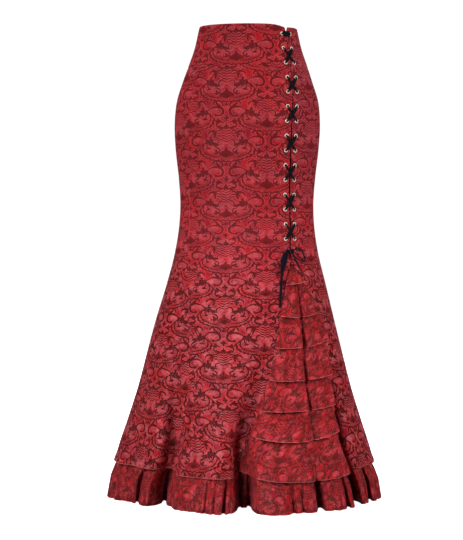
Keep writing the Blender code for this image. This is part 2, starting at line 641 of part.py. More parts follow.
def crossing(row, side):
    """Stops outside from an eyelet of this row to the other side's eyelet of the next row."""
    height = FIRST_EYELET - row * EYELET_PITCH
    slope = math.hypot(2 * EYELET_OFFSET, EYELET_PITCH)
    way = (EYELET_PITCH / slope, -side * 2 * EYELET_OFFSET / slope, 0)
    over = side > 0
    stops = [Stop(side * EYELET_OFFSET, height, LACE_FRONT, LACE_IN_HOLE, way)]
    for share in (0.30, 0.50, 0.70):
        lift = LACE_OVER if over and 0.3 < share < 0.7 else LACE_FRONT
        across = side * EYELET_OFFSET * (1 - 2 * share)
        stops.append(Stop(across, height - share * EYELET_PITCH, lift, LACE_WIDTH, way))
    stops.append(Stop(-side * EYELET_OFFSET, height - EYELET_PITCH, LACE_FRONT, LACE_IN_HOLE, way))
    return stops


def inside_run(row, side):
    """Stops behind the cloth, down from an eyelet of this row to the one below it."""
    heights = (FIRST_EYELET - row * EYELET_PITCH, FIRST_EYELET - (row + 1) * EYELET_PITCH)
    return [Stop(side * EYELET_OFFSET, height, LACE_BACK, LACE_IN_HOLE, ACROSS) for height in heights]


def lace_half(side):
    """One half of the lace, from the top bar down to where it comes out of the slit behind the knot."""
    stops = []
    for row in range(0, EYELET_ROWS - 1, 2):
        stops += inside_run(row, side) + crossing(row + 1, side)
        side = -side
    out = side * (SLIT_GAP - LACE_THICK - 3 * GAP) / 2
    last = FIRST_EYELET - (EYELET_ROWS - 1) * EYELET_PITCH
    stops.append(Stop(side * EYELET_OFFSET, last, LACE_BACK, LACE_IN_HOLE, ACROSS))
    slanted = (0.9, side * -0.4, 0)
    stops.append(Stop(side * 0.0060, KNOT_HEIGHT + 0.012, LACE_TUCKED_BACK, LACE_TUCKED, slanted))
    stops.append(Stop(out, KNOT_HEIGHT, LACE_TUCKED_BACK, LACE_TUCKED, UP))
    stops.append(Stop(out, KNOT_HEIGHT, KNOT_LIFT - 2 * GAP, LACE_TUCKED, UP))
    return stops


def make_lace(material):
    """The lace in one piece, from the knot up the left, over the top bar and down the right to the knot."""
    left, right = lace_half(-1), lace_half(1)
    bar = [Stop(x, FIRST_EYELET, LACE_FRONT, width, UP)
           for x, width in ((-EYELET_OFFSET, LACE_IN_HOLE), (-0.007, LACE_WIDTH), (0.007, LACE_WIDTH),
                            (EYELET_OFFSET, LACE_IN_HOLE))]
    flipped = [stop._replace(way=tuple(-w for w in stop.way)) for stop in left[::-1]]
    ribbon("lace", flipped + bar + right, material)


def make_bow(material):
    """The knot over the slit's lower end, with two loops and two ends."""
    width, lead = 0.0060, 0.0020
    left_side, right_side = -KNOT_SIZE[0] / 2 - GAP, KNOT_SIZE[0] / 2 + GAP
    point, axes = slit_frame(KNOT_HEIGHT, 0.0, KNOT_LIFT + KNOT_SIZE[2] / 2)
    half = np.array(KNOT_SIZE) / 2
    signs = [(x, y, z) for z in (-1, 1) for x, y in ((-1, -1), (1, -1), (1, 1), (-1, 1))]
    corners = [point + (np.array(sign) * half) @ axes for sign in signs]
    faces = [(3, 2, 1, 0), (4, 5, 6, 7)] + [(k, (k + 1) % 4, 4 + (k + 1) % 4, 4 + k) for k in range(4)]
    knot = add_object("bow_knot", corners, faces, material)
    bevel = knot.modifiers.new("soft_edges", "BEVEL")
    bevel.width, bevel.segments = 0.0016, 2

    ribbon("bow_loop_left", [
        Stop(left_side, 0.5800, 0.0084, 0.0040, UP),
        Stop(-0.0125, 0.5800, 0.0095, width, (0.35, 0.94, 0)),
        Stop(-0.0190, 0.5720, 0.0105, width, (0.80, 0.60, 0)),
        Stop(-0.0230, 0.5600, 0.0105, width, (0.97, 0.24, 0)),
        Stop(-0.0240, 0.5460, 0.0100, width, (1, 0, 0)),
        Stop(-0.0230, 0.5345, 0.0092, width, (0.98, -0.17, 0)),
        Stop(-0.0222, 0.5315, 0.0078, width, (0.96, -0.26, 0)),
        Stop(-0.0225, 0.5345, 0.0064, width, (0.98, -0.17, 0)),
        Stop(-0.0215, 0.5460, 0.0058, width, (0.99, 0.10, 0)),
        Stop(-0.0190, 0.5580, 0.0056, width, (0.95, 0.30, 0)),
        Stop(-0.0140, 0.5690, 0.0060, width, (0.80, 0.60, 0)),
        Stop(left_side - lead, 0.5765, 0.0064, 0.0040, (0.30, 0.95, 0)),
        Stop(left_side, 0.5770, 0.0066, 0.0036, UP),
    ], material)
    ribbon("bow_loop_right", [
        Stop(right_side, 0.5820, 0.0060, 0.0036, OUT),
        Stop(0.0140, 0.5850, 0.0055, 0.0046, OUT),
        Stop(0.0240, 0.5825, 0.0055, 0.0046, OUT),
        Stop(0.0330, 0.5730, 0.0052, 0.0046, OUT),
        Stop(0.0385, 0.5620, 0.0050, 0.0046, OUT),
        Stop(0.0395, 0.5560, 0.0050, 0.0046, OUT),
        Stop(0.0375, 0.5535, 0.0050, 0.0046, OUT),
        Stop(0.0335, 0.5560, 0.0050, 0.0046, OUT),
        Stop(0.0240, 0.5635, 0.0052, 0.0046, OUT),
        Stop(0.0140, 0.5710, 0.0055, 0.0046, OUT),
        Stop(right_side + lead, 0.5762, 0.0060, 0.0036, OUT),
        Stop(right_side, 0.5765, 0.0060, 0.0036, OUT),
    ], material)
    ribbon("bow_end_left", [
        Stop(left_side, 0.5765, 0.0045, 0.0034, UP),
        Stop(left_side - lead, 0.5762, 0.0044, 0.0038, (0.20, 0.98, 0)),
        Stop(-0.0110, 0.5705, 0.0038, width, (0.75, 0.66, 0)),
        Stop(-0.0160, 0.5570, 0.0034, width, (0.93, 0.37, 0)),
        Stop(-0.0200, 0.5380, 0.0032, width, (0.99, 0.15, 0)),
        Stop(-0.0222, 0.5150, 0.0030, width, ACROSS),
        Stop(-0.0240, 0.4850, 0.0029, width, ACROSS),
        Stop(-0.0262, 0.4510, 0.0028, width, ACROSS),
    ], material)
    under = KNOT_HEIGHT - KNOT_SIZE[1] / 2 - GAP
    ribbon("bow_end_right", [
        Stop(0.0030, under, 0.0060, 0.0034, ACROSS),
        Stop(0.0032, under - lead, 0.0061, 0.0038, ACROSS),
        Stop(0.0060, 0.5650, 0.0072, 0.0050, (0.94, 0.34, 0)),
        Stop(0.0110, 0.5540, 0.0095, 0.0050, (0.90, 0.43, 0)),
        Stop(0.0160, 0.5430, 0.0125, 0.0050, (0.90, 0.43, 0)),
        Stop(0.0205, 0.5320, 0.0160, 0.0050, (0.90, 0.43, 0)),
    ], material)


def main():
    for old in list(bpy.data.objects):
        bpy.data.objects.remove(old, do_unlink=True)
    brocade = make_material("red_brocade", (0.36, 0.02, 0.04), 0.55)
    ruffle = make_material("red_brocade_ruffle", (0.40, 0.02, 0.05), 0.50)
    satin = make_material("black_satin", (0.012, 0.011, 0.020), 0.35)
    brass = make_material("pale_brass", (0.72, 0.60, 0.40), 0.30, 1.0)
    make_waistband(brocade)
    make_panels(brocade)
    make_underlay(brocade)
    make_godet(brocade)
    make_tiers(ruffle)
    make_frill("hem_frill_front", seam(LEFT_SEAM, 1), seam(RIGHT_SEAM, -1), ruffle)
    make_frill("hem_frill_back", seam(RIGHT_SEAM, 1), seam(LEFT_SEAM_AGAIN, -1), ruffle)
    for row in range(EYELET_ROWS):
        make_eyelet(f"eyelet_left_{row + 1:02d}", row, -1, brass)
        make_eyelet(f"eyelet_right_{row + 1:02d}", row, 1, brass)
    make_lace(satin)
    make_bow(satin)


main()
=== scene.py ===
# Mermaid fishtail skirt in red damask brocade: laced up a slit, with a tiered godet and a gathered frill.
# Metres. +X is the viewer's right, the front faces -Y, +Z is up, and the origin is the middle of the waist.
# Height runs up from the frill's lowest edge, angle runs round from the middle of the front towards +X,
# and lift is how far a surface stands out from the cloth's outer face.
import math

import bpy
import numpy as np
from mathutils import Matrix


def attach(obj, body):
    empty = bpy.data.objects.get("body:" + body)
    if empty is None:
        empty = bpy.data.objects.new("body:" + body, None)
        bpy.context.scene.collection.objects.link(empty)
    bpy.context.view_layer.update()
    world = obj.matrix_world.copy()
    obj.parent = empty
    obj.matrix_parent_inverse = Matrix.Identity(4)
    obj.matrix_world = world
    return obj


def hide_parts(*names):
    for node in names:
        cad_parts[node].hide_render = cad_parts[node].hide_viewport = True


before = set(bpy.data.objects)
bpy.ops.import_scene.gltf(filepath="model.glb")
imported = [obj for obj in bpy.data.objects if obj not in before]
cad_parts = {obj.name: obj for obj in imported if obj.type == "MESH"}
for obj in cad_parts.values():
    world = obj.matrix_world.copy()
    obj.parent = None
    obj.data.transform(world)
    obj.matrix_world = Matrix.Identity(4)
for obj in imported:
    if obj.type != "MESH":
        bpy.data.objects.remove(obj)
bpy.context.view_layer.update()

scene = bpy.context.scene

# The skirt's form
skirt = {
    "top": 1.100, "waist": 1.055, "bandSeam": 1.003, "apex": 0.555, "hem": 0.0855,
    "wall": 0.0014, "ruffleWall": 0.0016, "gap": 0.0003,
    "godetDrop": 0.008,  # the godet starts this far below the slit's end
    "sewn": -0.0004,  # neighbouring panels run into each other by this much, so no light comes through a seam
    # How far the top edge dips, by its distance from the slit
    "topDip": ((-0.050, -0.034, -0.018, -0.006, 0.006, 0.030, 0.052, 0.066, 0.085, 0.120, 0.180),
               (0.0, 0.0006, 0.0030, 0.0062, 0.0055, 0.0050, 0.0062, 0.0090, 0.0100, 0.0050, 0.0)),
    "dipAbove": 0.0065,  # the dip starts this far above the first eyelets
    "flick": 0.0035, "hemReach": 0.014,  # how far the panels' hem stands out, and over what height
    # How much lower the hem hangs at the front: the angles it starts and ends at, and the spans it grows over
    "sag": 0.009, "sagFrom": (-0.80, 0.14), "sagTo": (0.06, 0.08),
    "roll": (0.0008, 0.0026),  # how deep the cloth turns in at a sewn edge, and over what breadth
    "grid": 0.0040,  # the cloth's usual mesh spacing
}
# Each plain section: height, half width, depth of the front and of the back, and its middle
sections = np.array([
    (1.100, 0.1135, 0.086, 0.094, 0.0010), (1.044, 0.1267, 0.091, 0.099, 0.0010),
    (1.007, 0.1396, 0.098, 0.106, 0.0008), (0.969, 0.1525, 0.104, 0.114, 0.0000),
    (0.932, 0.1642, 0.108, 0.122, 0.0000), (0.875, 0.1701, 0.112, 0.131, -0.0005),
    (0.819, 0.1677, 0.113, 0.132, -0.0010), (0.744, 0.1595, 0.112, 0.124, -0.0012),
    (0.688, 0.1560, 0.112, 0.119, -0.0015), (0.650, 0.1572, 0.114, 0.120, -0.0018),
    (0.575, 0.1677, 0.124, 0.130, -0.0024), (0.500, 0.1865, 0.140, 0.147, -0.0030),
    (0.425, 0.2070, 0.157, 0.166, -0.0055), (0.331, 0.2318, 0.180, 0.192, -0.0068),
    (0.256, 0.2515, 0.198, 0.214, -0.0072), (0.181, 0.2748, 0.217, 0.238, -0.0077),
    (0.106, 0.2985, 0.236, 0.262, -0.0082), (0.000, 0.3120, 0.252, 0.284, -0.0085),
])
# Lines that are sewn or slit down the front: heights, and distances to the right of the middle
lines = {
    "princess": ((1.100, 1.003, 0.925, 0.750, 0.563, 0.327, 0.200, 0.0855, 0.000),
                 (-0.090, -0.118, -0.1325, -0.134, -0.1385, -0.1366, -0.152, -0.1776, -0.190)),
    "slit": ((1.100, 1.044, 1.010, 0.947, 0.874, 0.800, 0.737, 0.606, 0.555, 0.400),
             (0.087, 0.092, 0.0975, 0.1027, 0.1007, 0.098, 0.0961, 0.0973, 0.0965, 0.0965)),
    "godetLeft": ((0.555, 0.505, 0.433, 0.363, 0.290, 0.2235, 0.159, 0.0855, 0.000),
                  (0.0965, 0.085, 0.072, 0.061, 0.0466, 0.0232, 0.001, -0.023, 0.012)),
    "godetRight": ((0.555, 0.505, 0.433, 0.363, 0.290, 0.2235, 0.159, 0.0855, 0.000),
                   (0.0965, 0.128, 0.162, 0.178, 0.186, 0.193, 0.2055, 0.2255, 0.242)),
    "crease": ((0.520, 0.480, 0.433, 0.374, 0.312, 0.238, 0.100),
               (0.107, 0.113, 0.1165, 0.123, 0.1245, 0.1345, 0.150)),
    "sideValley": ((0.460, 0.276, 0.209, 0.152, 0.113, 0.052, 0.000),
                   (-0.164, -0.170, -0.1745, -0.180, -0.190, -0.205, -0.212)),
    "frontValley": ((0.460, 0.363, 0.290, 0.2235, 0.159, 0.120, 0.0855, 0.000),
                    (0.060, 0.046, 0.030, 0.004, -0.012, -0.013, -0.009, -0.009)),
}
# Folds of the flare: the line it follows or "angle", its offset or degrees, depth and half breadth at the
# hem, and the height where it starts
folds = [
    ("princess", 0.000, -0.026, 0.030, 0.460), ("godetLeft", -0.012, -0.020, 0.026, 0.300),
    ("sideValley", -0.010, -0.022, 0.038, 0.400), ("frontValley", -0.006, -0.020, 0.034, 0.480),
    ("godetRight", 0.017, -0.022, 0.018, 0.400), ("angle", -60, -0.032, 0.075, 0.380),
    ("angle", -67, -0.009, 0.024, 0.280), ("angle", -25, -0.020, 0.045, 0.400),
    ("angle", -10, 0.012, 0.035, 0.300), ("angle", 14, 0.010, 0.040, 0.300),
    ("angle", 22, -0.010, 0.018, 0.130), ("angle", 33, -0.012, 0.018, 0.150),
    ("angle", 68, -0.011, 0.026, 0.260), ("angle", 107, 0.010, 0.050, 0.360),
    ("angle", 126, -0.030, 0.050, 0.420), ("angle", 152, 0.012, 0.060, 0.360),
    ("angle", 180, -0.034, 0.052, 0.460), ("angle", 208, 0.012, 0.060, 0.360),
    ("angle", 235, -0.032, 0.050, 0.400), ("angle", 254, 0.010, 0.050, 0.360),
]
# Deep folds that run straight in from the front or the back: the line each follows or "angle", its offset or
# degrees, depth and half breadth at the hem, the height where it starts, and how square its sides are
deepFolds = [
    ("sideValley", 0.000, 0.056, 0.020, 0.420, 2), ("frontValley", 0.000, 0.058, 0.021, 0.400, 4),
    ("godetRight", 0.012, 0.034, 0.009, 0.420, 2), ("angle", 149, 0.034, 0.016, 0.380, 2),
    ("angle", 205, 0.036, 0.016, 0.400, 2),
]
# Soft creases in the cloth: angle in degrees, height, half length, half breadth, lean, and depth
creases = [
    (-27, 0.352, 0.034, 0.009, 0.30, -0.0060), (-24, 0.300, 0.035, 0.012, 0.25, -0.0020),
    (-41, 0.600, 0.045, 0.010, 0.80, -0.0012), (-12, 0.640, 0.050, 0.009, 1.10, -0.0009),
    (48, 0.700, 0.045, 0.009, -1.00, -0.0011), (58, 0.560, 0.040, 0.010, -0.70, -0.0013),
    (-60, 0.950, 0.030, 0.008, 1.20, -0.0009), (5, 0.975, 0.040, 0.008, 1.50, -0.0008),
    (120, 0.620, 0.050, 0.010, 0.90, -0.0014), (236, 0.640, 0.050, 0.010, -0.90, -0.0014),
    (150, 0.900, 0.040, 0.010, 1.20, -0.0011), (207, 0.880, 0.040, 0.010, -1.25, -0.0012),
    (170, 0.730, 0.045, 0.011, 1.40, -0.0013), (192, 0.690, 0.045, 0.011, -1.35, -0.0012),
    (-75, 0.420, 0.050, 0.014, 0.20, -0.0020), (78, 0.410, 0.050, 0.014, -0.20, -0.0020),
]
leftSeam, rightSeam, backSeam = -math.pi / 2, math.pi / 2, math.pi


def smooth(knots, values, at):
    # A cubic through the rows of a table, each row's slope taken from the rows beside it
    knots, values = np.array(knots[::-1]), np.array(values[::-1])
    slopes = np.gradient(values, knots)
    at = np.clip(at, knots[0], knots[-1])
    i = np.clip(np.searchsorted(knots, at) - 1, 0, len(knots) - 2)
    step = knots[i + 1] - knots[i]
    t = (at - knots[i]) / step
    ends = (2 * t**3 - 3 * t**2 + 1) * values[i] + (3 * t**2 - 2 * t**3) * values[i + 1]
    return ends + step * ((t**3 - 2 * t**2 + t) * slopes[i] + (t**3 - t**2) * slopes[i + 1])


def section(angle, height):
    # Half width, depth on this angle's side and middle of the plain section
    halfWidth, front, back, centre = (smooth(sections[:, 0], sections[:, k], height) for k in range(1, 5))
    return halfWidth, np.where(np.cos(angle) >= 0, front, back), centre


def turnRate(angle, height):
    # Metres of cloth for each radian
    halfWidth, depth, _ = section(angle, height)
    return np.hypot(halfWidth * np.cos(angle), depth * np.sin(angle))


def shift(angle, height, distance):
    # The angle plus a distance along the cloth over its metres for each radian
    return angle + distance / turnRate(angle, height)


def line(name, height, distance=0.0):
    # The angle of a named line at a height, moved round by a distance
    halfWidth, _, centre = section(0.0, height)
    return shift(np.arcsin((smooth(*lines[name], height) - centre) / halfWidth), height, distance)


def turn(angle, middle):
    # The difference of two angles, wrapped to half a turn either way
    return (angle - middle + math.pi) % (2 * math.pi) - math.pi


def foldMiddle(follows, at, height):
    # A fold stands at a fixed angle, or beside a named line that stays still above the slit's end
    if follows == "angle":
        return math.radians(at)
    return line(follows, np.minimum(height, skirt["apex"]), at)


def foldDepth(angle, height):
    # Sum of bells across, each growing from its start down to the hem as a power 1.4 of the way
    rate = turnRate(angle, height)
    total = np.zeros(np.broadcast(angle, height).shape)
    for follows, at, depth, width, start in folds:
        grown = np.clip((start - height) / start, 0, 1) ** 1.4
        away = turn(angle, foldMiddle(follows, at, height)) * rate / width
        total = total + depth * grown * np.exp(-(away**2))
    return total


def inward(angle):
    # Level direction of a deep fold: straight in from the front or the back, and to the middle near the sides
    aside = np.clip((np.abs(np.sin(angle)) - 0.94) / 0.06, 0, 1)
    return -np.sin(angle) * aside, np.sign(np.cos(angle)) * (1 - aside) + np.cos(angle) * aside


def deepDepth(angle, height):
    # Sum of bells as above, growing as a power 1.2, with squarer sides where the last number is higher
    rate = turnRate(angle, height)
    total = np.zeros(np.broadcast(angle, height).shape)
    for follows, at, depth, width, start, square in deepFolds:
        grown = np.clip((start - height) / start, 0, 1) ** 1.2
        away = np.abs(turn(angle, foldMiddle(follows, at, height)) * rate / width)
        total = total + depth * grown * np.exp(-(away**square))
    return total


def creaseDepth(angle, height):
    # Sum of leaning bells, long one way and narrow the other: exp(-(along / length)^2 - (aside / breadth)^2)
    rate = turnRate(angle, height)
    total = np.zeros(np.broadcast(angle, height).shape)
    for at, level, length, breadth, lean, depth in creases:
        across, up = turn(angle, math.radians(at)) * rate, height - level
        along = across * math.sin(lean) + up * math.cos(lean)
        aside = across * math.cos(lean) - up * math.sin(lean)
        total = total + depth * np.exp(-((along / length) ** 2) - (aside / breadth) ** 2)
    return total


def place(angle, height, lift=0.0, deeper=0.0):
    # The point at an angle and height: on the section's ellipse, moved out by the folds and the lift,
    # and then straight in by the deep folds
    halfWidth, depth, centre = section(angle, height)
    outX, outY = depth * np.sin(angle), -halfWidth * np.cos(angle)
    out = (foldDepth(angle, height) + lift) / np.hypot(outX, outY)
    inX, inY = inward(angle)
    deep = deepDepth(angle, height) + deeper
    x = centre + halfWidth * np.sin(angle) + out * outX + deep * inX
    y = -depth * np.cos(angle) + out * outY + deep * inY
    return np.stack(np.broadcast_arrays(x, y, height - skirt["waist"]), axis=-1)


# The slit, its lace and its eyelets
lacing = {
    "rows": 15, "pitch": 0.0337, "first": 1.0786, "offset": 0.0120,
    "clothHole": 0.0031, "cell": 0.0090, "bandRows": 3,
    "slitGap": 0.0036, "notchGap": 0.0120, "notchDepth": 0.030, "closes": 0.010,
    "drawn": 0.62, "drawnFrom": (0.80, 0.16),  # how much narrower it is drawn, from what height, over what
    # Columns of cloth beside the slit, from its middle line, and the steps to its edge
    "strip": (0.0075, 0.0165, 0.0265), "stripStep": 0.0034, "edgeShares": (0.35, 0.68, 0.86, 1.0),
    "width": 0.0070, "barWidth": 0.0120, "thick": 0.0014, "inHole": 0.0034,
    "strands": (1.24, 0.66),  # the upper and the lower strand's width at a crossing, as shares
    "front": 0.0020, "over": 0.0037, "back": -0.0027, "tucked": 0.0020, "tuckedBack": -0.0031,
    "knotHeight": 0.579, "knotSize": (0.0116, 0.0106, 0.0066), "knotLift": 0.0032,
}
ways = {"across": (1, 0, 0), "up": (0, 1, 0), "out": (0, 0, 1)}


def slitFrame(height, across, lift):
    # Points, and directions across, up and out, at distances across from the slit's middle line
    angle, step = line("slit", height, across), 0.0005
    point = place(angle, height, lift)
    side = place(shift(angle, height, step), height) - place(angle, height)
    up = place(line("slit", height + step, across), height + step) - place(angle, height)
    side, up = (d / np.linalg.norm(d, axis=-1, keepdims=True) for d in (side, up))
    out = np.cross(side, up)
    return point, np.stack([side, up, out / np.linalg.norm(out, axis=-1, keepdims=True)], axis=-2)


def toVector(way):
    return ways[way] if isinstance(way, str) else way


def routePoints(stops):
    # A route's points and the ways its width points, from rows of across, height, lift, width and way
    across, height, lift, width = np.array([stop[:4] for stop in stops], dtype=float).T
    point, axes = slitFrame(height, across, lift)
    way = np.array([toVector(stop[4]) for stop in stops], dtype=float)
    return point, np.einsum("ni,nij->nj", way, axes), width


def curveThrough(points, steps):
    # A smooth curve through points: on each span a cubic whose end slopes come from the points beside it
    chord = np.maximum(np.linalg.norm(np.diff(points[:, :3], axis=0), axis=1), 1e-6)
    knots = np.concatenate([[0], np.cumsum(chord)])
    slopes = np.gradient(points, knots, axis=0)
    spans = [np.linspace(knots[i], knots[i + 1], steps, endpoint=False) for i in range(len(chord))]
    at = np.concatenate(spans + [knots[-1:]])
    i = np.clip(np.searchsorted(knots, at, side="right") - 1, 0, len(chord) - 1)
    step = (knots[i + 1] - knots[i])[:, None]
    t = ((at - knots[i]) / step[:, 0])[:, None]
    ends = (2 * t**3 - 3 * t**2 + 1) * points[i] + (3 * t**2 - 2 * t**3) * points[i + 1]
    return ends + step * ((t**3 - 2 * t**2 + t) * slopes[i] + (t**3 - t**2) * slopes[i + 1])


# Meshes
def addMesh(name, points, faces, uv=None, side=None, sharp=50):
    # Side is each face's material: the cloth's face or its reverse
    mesh = bpy.data.meshes.new(name)
    mesh.from_pydata(points.tolist(), [], [tuple(face) for face in faces])
    if uv is not None:
        corner = np.empty(len(mesh.loops), dtype=np.int32)
        mesh.loops.foreach_get("vertex_index", corner)
        mesh.uv_layers.new(name="cut").data.foreach_set("uv", uv[corner].astype(np.float32).ravel())
    if side is not None:
        mesh.polygons.foreach_set("material_index", side.astype(np.int32))
    mesh.shade_smooth()
    mesh.set_sharp_from_angle(angle=math.radians(sharp))
    made = bpy.data.objects.new(name, mesh)
    scene.collection.objects.link(made)
    return made


def gridFaces(rows, columns, ring=False):
    # Squares of a grid: rows run up, columns run round, and a ring joins its last column to its first
    index = np.arange(rows * columns).reshape(rows, columns)
    if ring:
        index = np.concatenate([index, index[:, :1]], axis=1)
    return np.stack([index[:-1, :-1], index[:-1, 1:], index[1:, 1:], index[1:, :-1]], axis=-1).reshape(-1, 4)


def gridNormals(points):
    # Cross product of the grid's steps round and up, at length 1
    out = np.cross(np.gradient(points, axis=1), np.gradient(points, axis=0))
    return out / np.linalg.norm(out, axis=-1, keepdims=True)


def clothShell(name, outer, wall, cut, keep=None):
    # A closed wall: the outer grid, the same turned over at the wall's thickness behind it, and its rims
    inner = outer - wall * gridNormals(outer)
    rows, columns = outer.shape[:2]
    quads, count = gridFaces(rows, columns), rows * columns
    if keep is not None:
        quads = quads[keep.ravel()]
    edges = np.concatenate([quads[:, [k, (k + 1) % 4]] for k in range(4)])
    rim = edges[~np.isin(edges[:, 1] * count + edges[:, 0], edges[:, 0] * count + edges[:, 1])]
    rims = np.stack([rim[:, 1], rim[:, 0], rim[:, 0] + count, rim[:, 1] + count], axis=-1)
    faces = np.concatenate([quads, quads[:, ::-1] + count, rims])
    side = np.repeat([0, 1, 0], [len(quads), len(quads), len(rims)])
    used, faces = np.unique(faces, return_inverse=True)
    points = np.concatenate([outer.reshape(-1, 3), inner.reshape(-1, 3)])[used]
    uv = np.tile(cut.reshape(-1, 2), (2, 1))[used]
    return addMesh(name, points, faces.reshape(-1, 4), uv, side)


def outward(points, faces):
    # The faces, turned over if the closed form they make is inside out
    a, b, c = points[faces[:, 0]], points[faces[:, 1]], points[faces[:, 2]]
    volume = np.einsum("ij,ij->i", a, np.cross(b, c)).sum()
    if faces.shape[1] == 4:
        volume += np.einsum("ij,ij->i", a, np.cross(c, points[faces[:, 3]])).sum()
    return faces if volume > 0 else faces[:, ::-1]


def sweep(name, centre, first, second, profile, uvWidth=0.01, sharp=60):
    # A closed profile carried along a path: each ring is centre + profile x * first + profile y * second
    profileX, profileY = profile[:, 0][None, :, None], profile[:, 1][None, :, None]
    rings = centre[:, None] + profileX * first[:, None] + profileY * second[:, None]
    rows, columns = rings.shape[:2]
    points = rings.reshape(-1, 3)
    faces = outward(points, gridFaces(rows, columns, ring=True))
    start, end = np.arange(columns), np.arange(columns) + (rows - 1) * columns
    if not np.array_equal(faces[0], gridFaces(rows, columns, ring=True)[0]):
        start, end = start[::-1], end[::-1]
    along = np.concatenate([[0], np.cumsum(np.linalg.norm(np.diff(centre, axis=0), axis=1))])
    around = np.linspace(0, uvWidth, columns, endpoint=False)
    uv = np.stack(np.broadcast_arrays(around[None, :], along[:, None]), axis=-1).reshape(-1, 2)
    return addMesh(name, points, faces.tolist() + [start[::-1].tolist(), end.tolist()], uv, sharp=sharp)


def ringProfile(width, thick, sides=10, power=0.75):
    # A rounded flat section: an ellipse whose sine and cosine are taken to a power, fuller below 1
    t = np.linspace(0, 2 * math.pi, sides, endpoint=False)
    return np.stack([np.sign(np.cos(t)) * np.abs(np.cos(t)) ** power * width / 2,
                     np.sign(np.sin(t)) * np.abs(np.sin(t)) ** power * thick / 2], axis=-1)


def ribbon(name, stops, thick, steps=8, sides=12, cup=0.0):
    # A flat band along its stops; its width narrows and turns with them, and its middle is cupped
    point, way, width = routePoints(stops)
    route = curveThrough(np.concatenate([point, way, width[:, None]], axis=1), steps)
    centre, way, width = route[:, :3], route[:, 3:6], route[:, 6]
    tangent = np.gradient(centre, axis=0)
    tangent /= np.linalg.norm(tangent, axis=1, keepdims=True)
    way = way - tangent * np.einsum("ij,ij->i", way, tangent)[:, None]
    way /= np.linalg.norm(way, axis=1, keepdims=True)
    rise = np.cross(tangent, way)
    profile = ringProfile(1.0, thick, sides)
    profile = profile + np.stack([0 * profile[:, 0], cup * (profile[:, 0] ** 2 * 4 - 0.5)], axis=-1)
    made = sweep(name, centre, way * width[:, None], rise, profile)
    return made, centre


def edgeTube(name, path, out, radius, sides=6):
    # A round thread along a path, with one side towards out
    tangent = np.gradient(path, axis=0)
    tangent /= np.linalg.norm(tangent, axis=1, keepdims=True)
    out = out - tangent * np.einsum("ij,ij->i", out, tangent)[:, None]
    out /= np.linalg.norm(out, axis=1, keepdims=True)
    profile = ringProfile(2 * radius, 2 * radius, sides, 1.0)
    return sweep(name, path, out, np.cross(tangent, out), profile, 0.004)


def finishPiece(piece, slot, materials, *nodes):
    # Every piece gets its materials, rides on the one body, and replaces its nodes if it has any; its slot is
    # not used
    for material in materials:
        piece.data.materials.append(material)
    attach(piece, "root")
    if nodes:
        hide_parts(*nodes)
    return piece


# Camera
view = {"across": -0.0375, "back": -4.0, "height": 0.65, "tilt": 1.68, "lens": 113.67}
cameraData = bpy.data.cameras.new("camera")
cameraData.sensor_fit, cameraData.sensor_height, cameraData.lens = "VERTICAL", 36.0, view["lens"]
camera = bpy.data.objects.new("camera", cameraData)
camera.location = (view["across"], view["back"], view["height"] - skirt["waist"])
camera.rotation_euler = (math.radians(90 - view["tilt"]), 0, 0)
scene.collection.objects.link(camera)
scene.camera = camera
print("camera placed")


# Materials
class Number:
    # A shader number that can be added, multiplied and compared as a plain one is
    def __init__(self, tree, socket):
        self.tree, self.socket = tree, socket

    def calc(self, kind, *items):
        node = self.tree.nodes.new("ShaderNodeMath")
        node.operation = kind
        for i, item in enumerate(items):
            if isinstance(item, Number):
                self.tree.links.new(item.socket, node.inputs[i])
            else:
                node.inputs[i].default_value = item
        return Number(self.tree, node.outputs[0])

    def through(self, kind, *others):
        return self.calc(kind, self, *others)

    def __add__(self, other):
        return self.through("ADD", other)

    def __sub__(self, other):
        return self.through("SUBTRACT", other)

    def __rsub__(self, other):
        return self.calc("SUBTRACT", other, self)

    def __mul__(self, other):
        return self.through("MULTIPLY", other)

    def __truediv__(self, other):
        return self.through("DIVIDE", other)

    def size(self):
        return self.through("ABSOLUTE")

    def most(self, other):
        return self.through("MAXIMUM", other)

    def least(self, other):
        return self.through("MINIMUM", other)

    def wrapped(self, half):
        return self.through("WRAP", half, -half)

    def ramp(self, low, high):
        # 0 below low, 1 above high, even between them
        node = self.tree.nodes.new("ShaderNodeMapRange")
        self.tree.links.new(self.socket, node.inputs["Value"])
        node.inputs["From Min"].default_value, node.inputs["From Max"].default_value = low, high
        return Number(self.tree, node.outputs[0])

    def charted(self, chart, low, high, scale):
        # Looked up in a drawn curve: the chart's rows are places between low and high, and values
        node = self.tree.nodes.new("ShaderNodeFloatCurve")
        curve = node.mapping.curves[0]
        rows = [((at - low) / (high - low), value / scale) for at, value in chart]
        curve.points[0].location, curve.points[-1].location = rows[0], rows[-1]
        for row in rows[1:-1]:
            curve.points.new(*row)
        node.mapping.update()
        self.tree.links.new(self.ramp(low, high).socket, node.inputs["Value"])
        return Number(self.tree, node.outputs[0]) * scale


def polar(x, y):
    # Distance from a motif's centre, and the direction in degrees: 0 away from the axis, 90 downwards
    return (x * x + y * y).through("SQRT"), y.through("ARCTAN2", x) * (180 / math.pi)


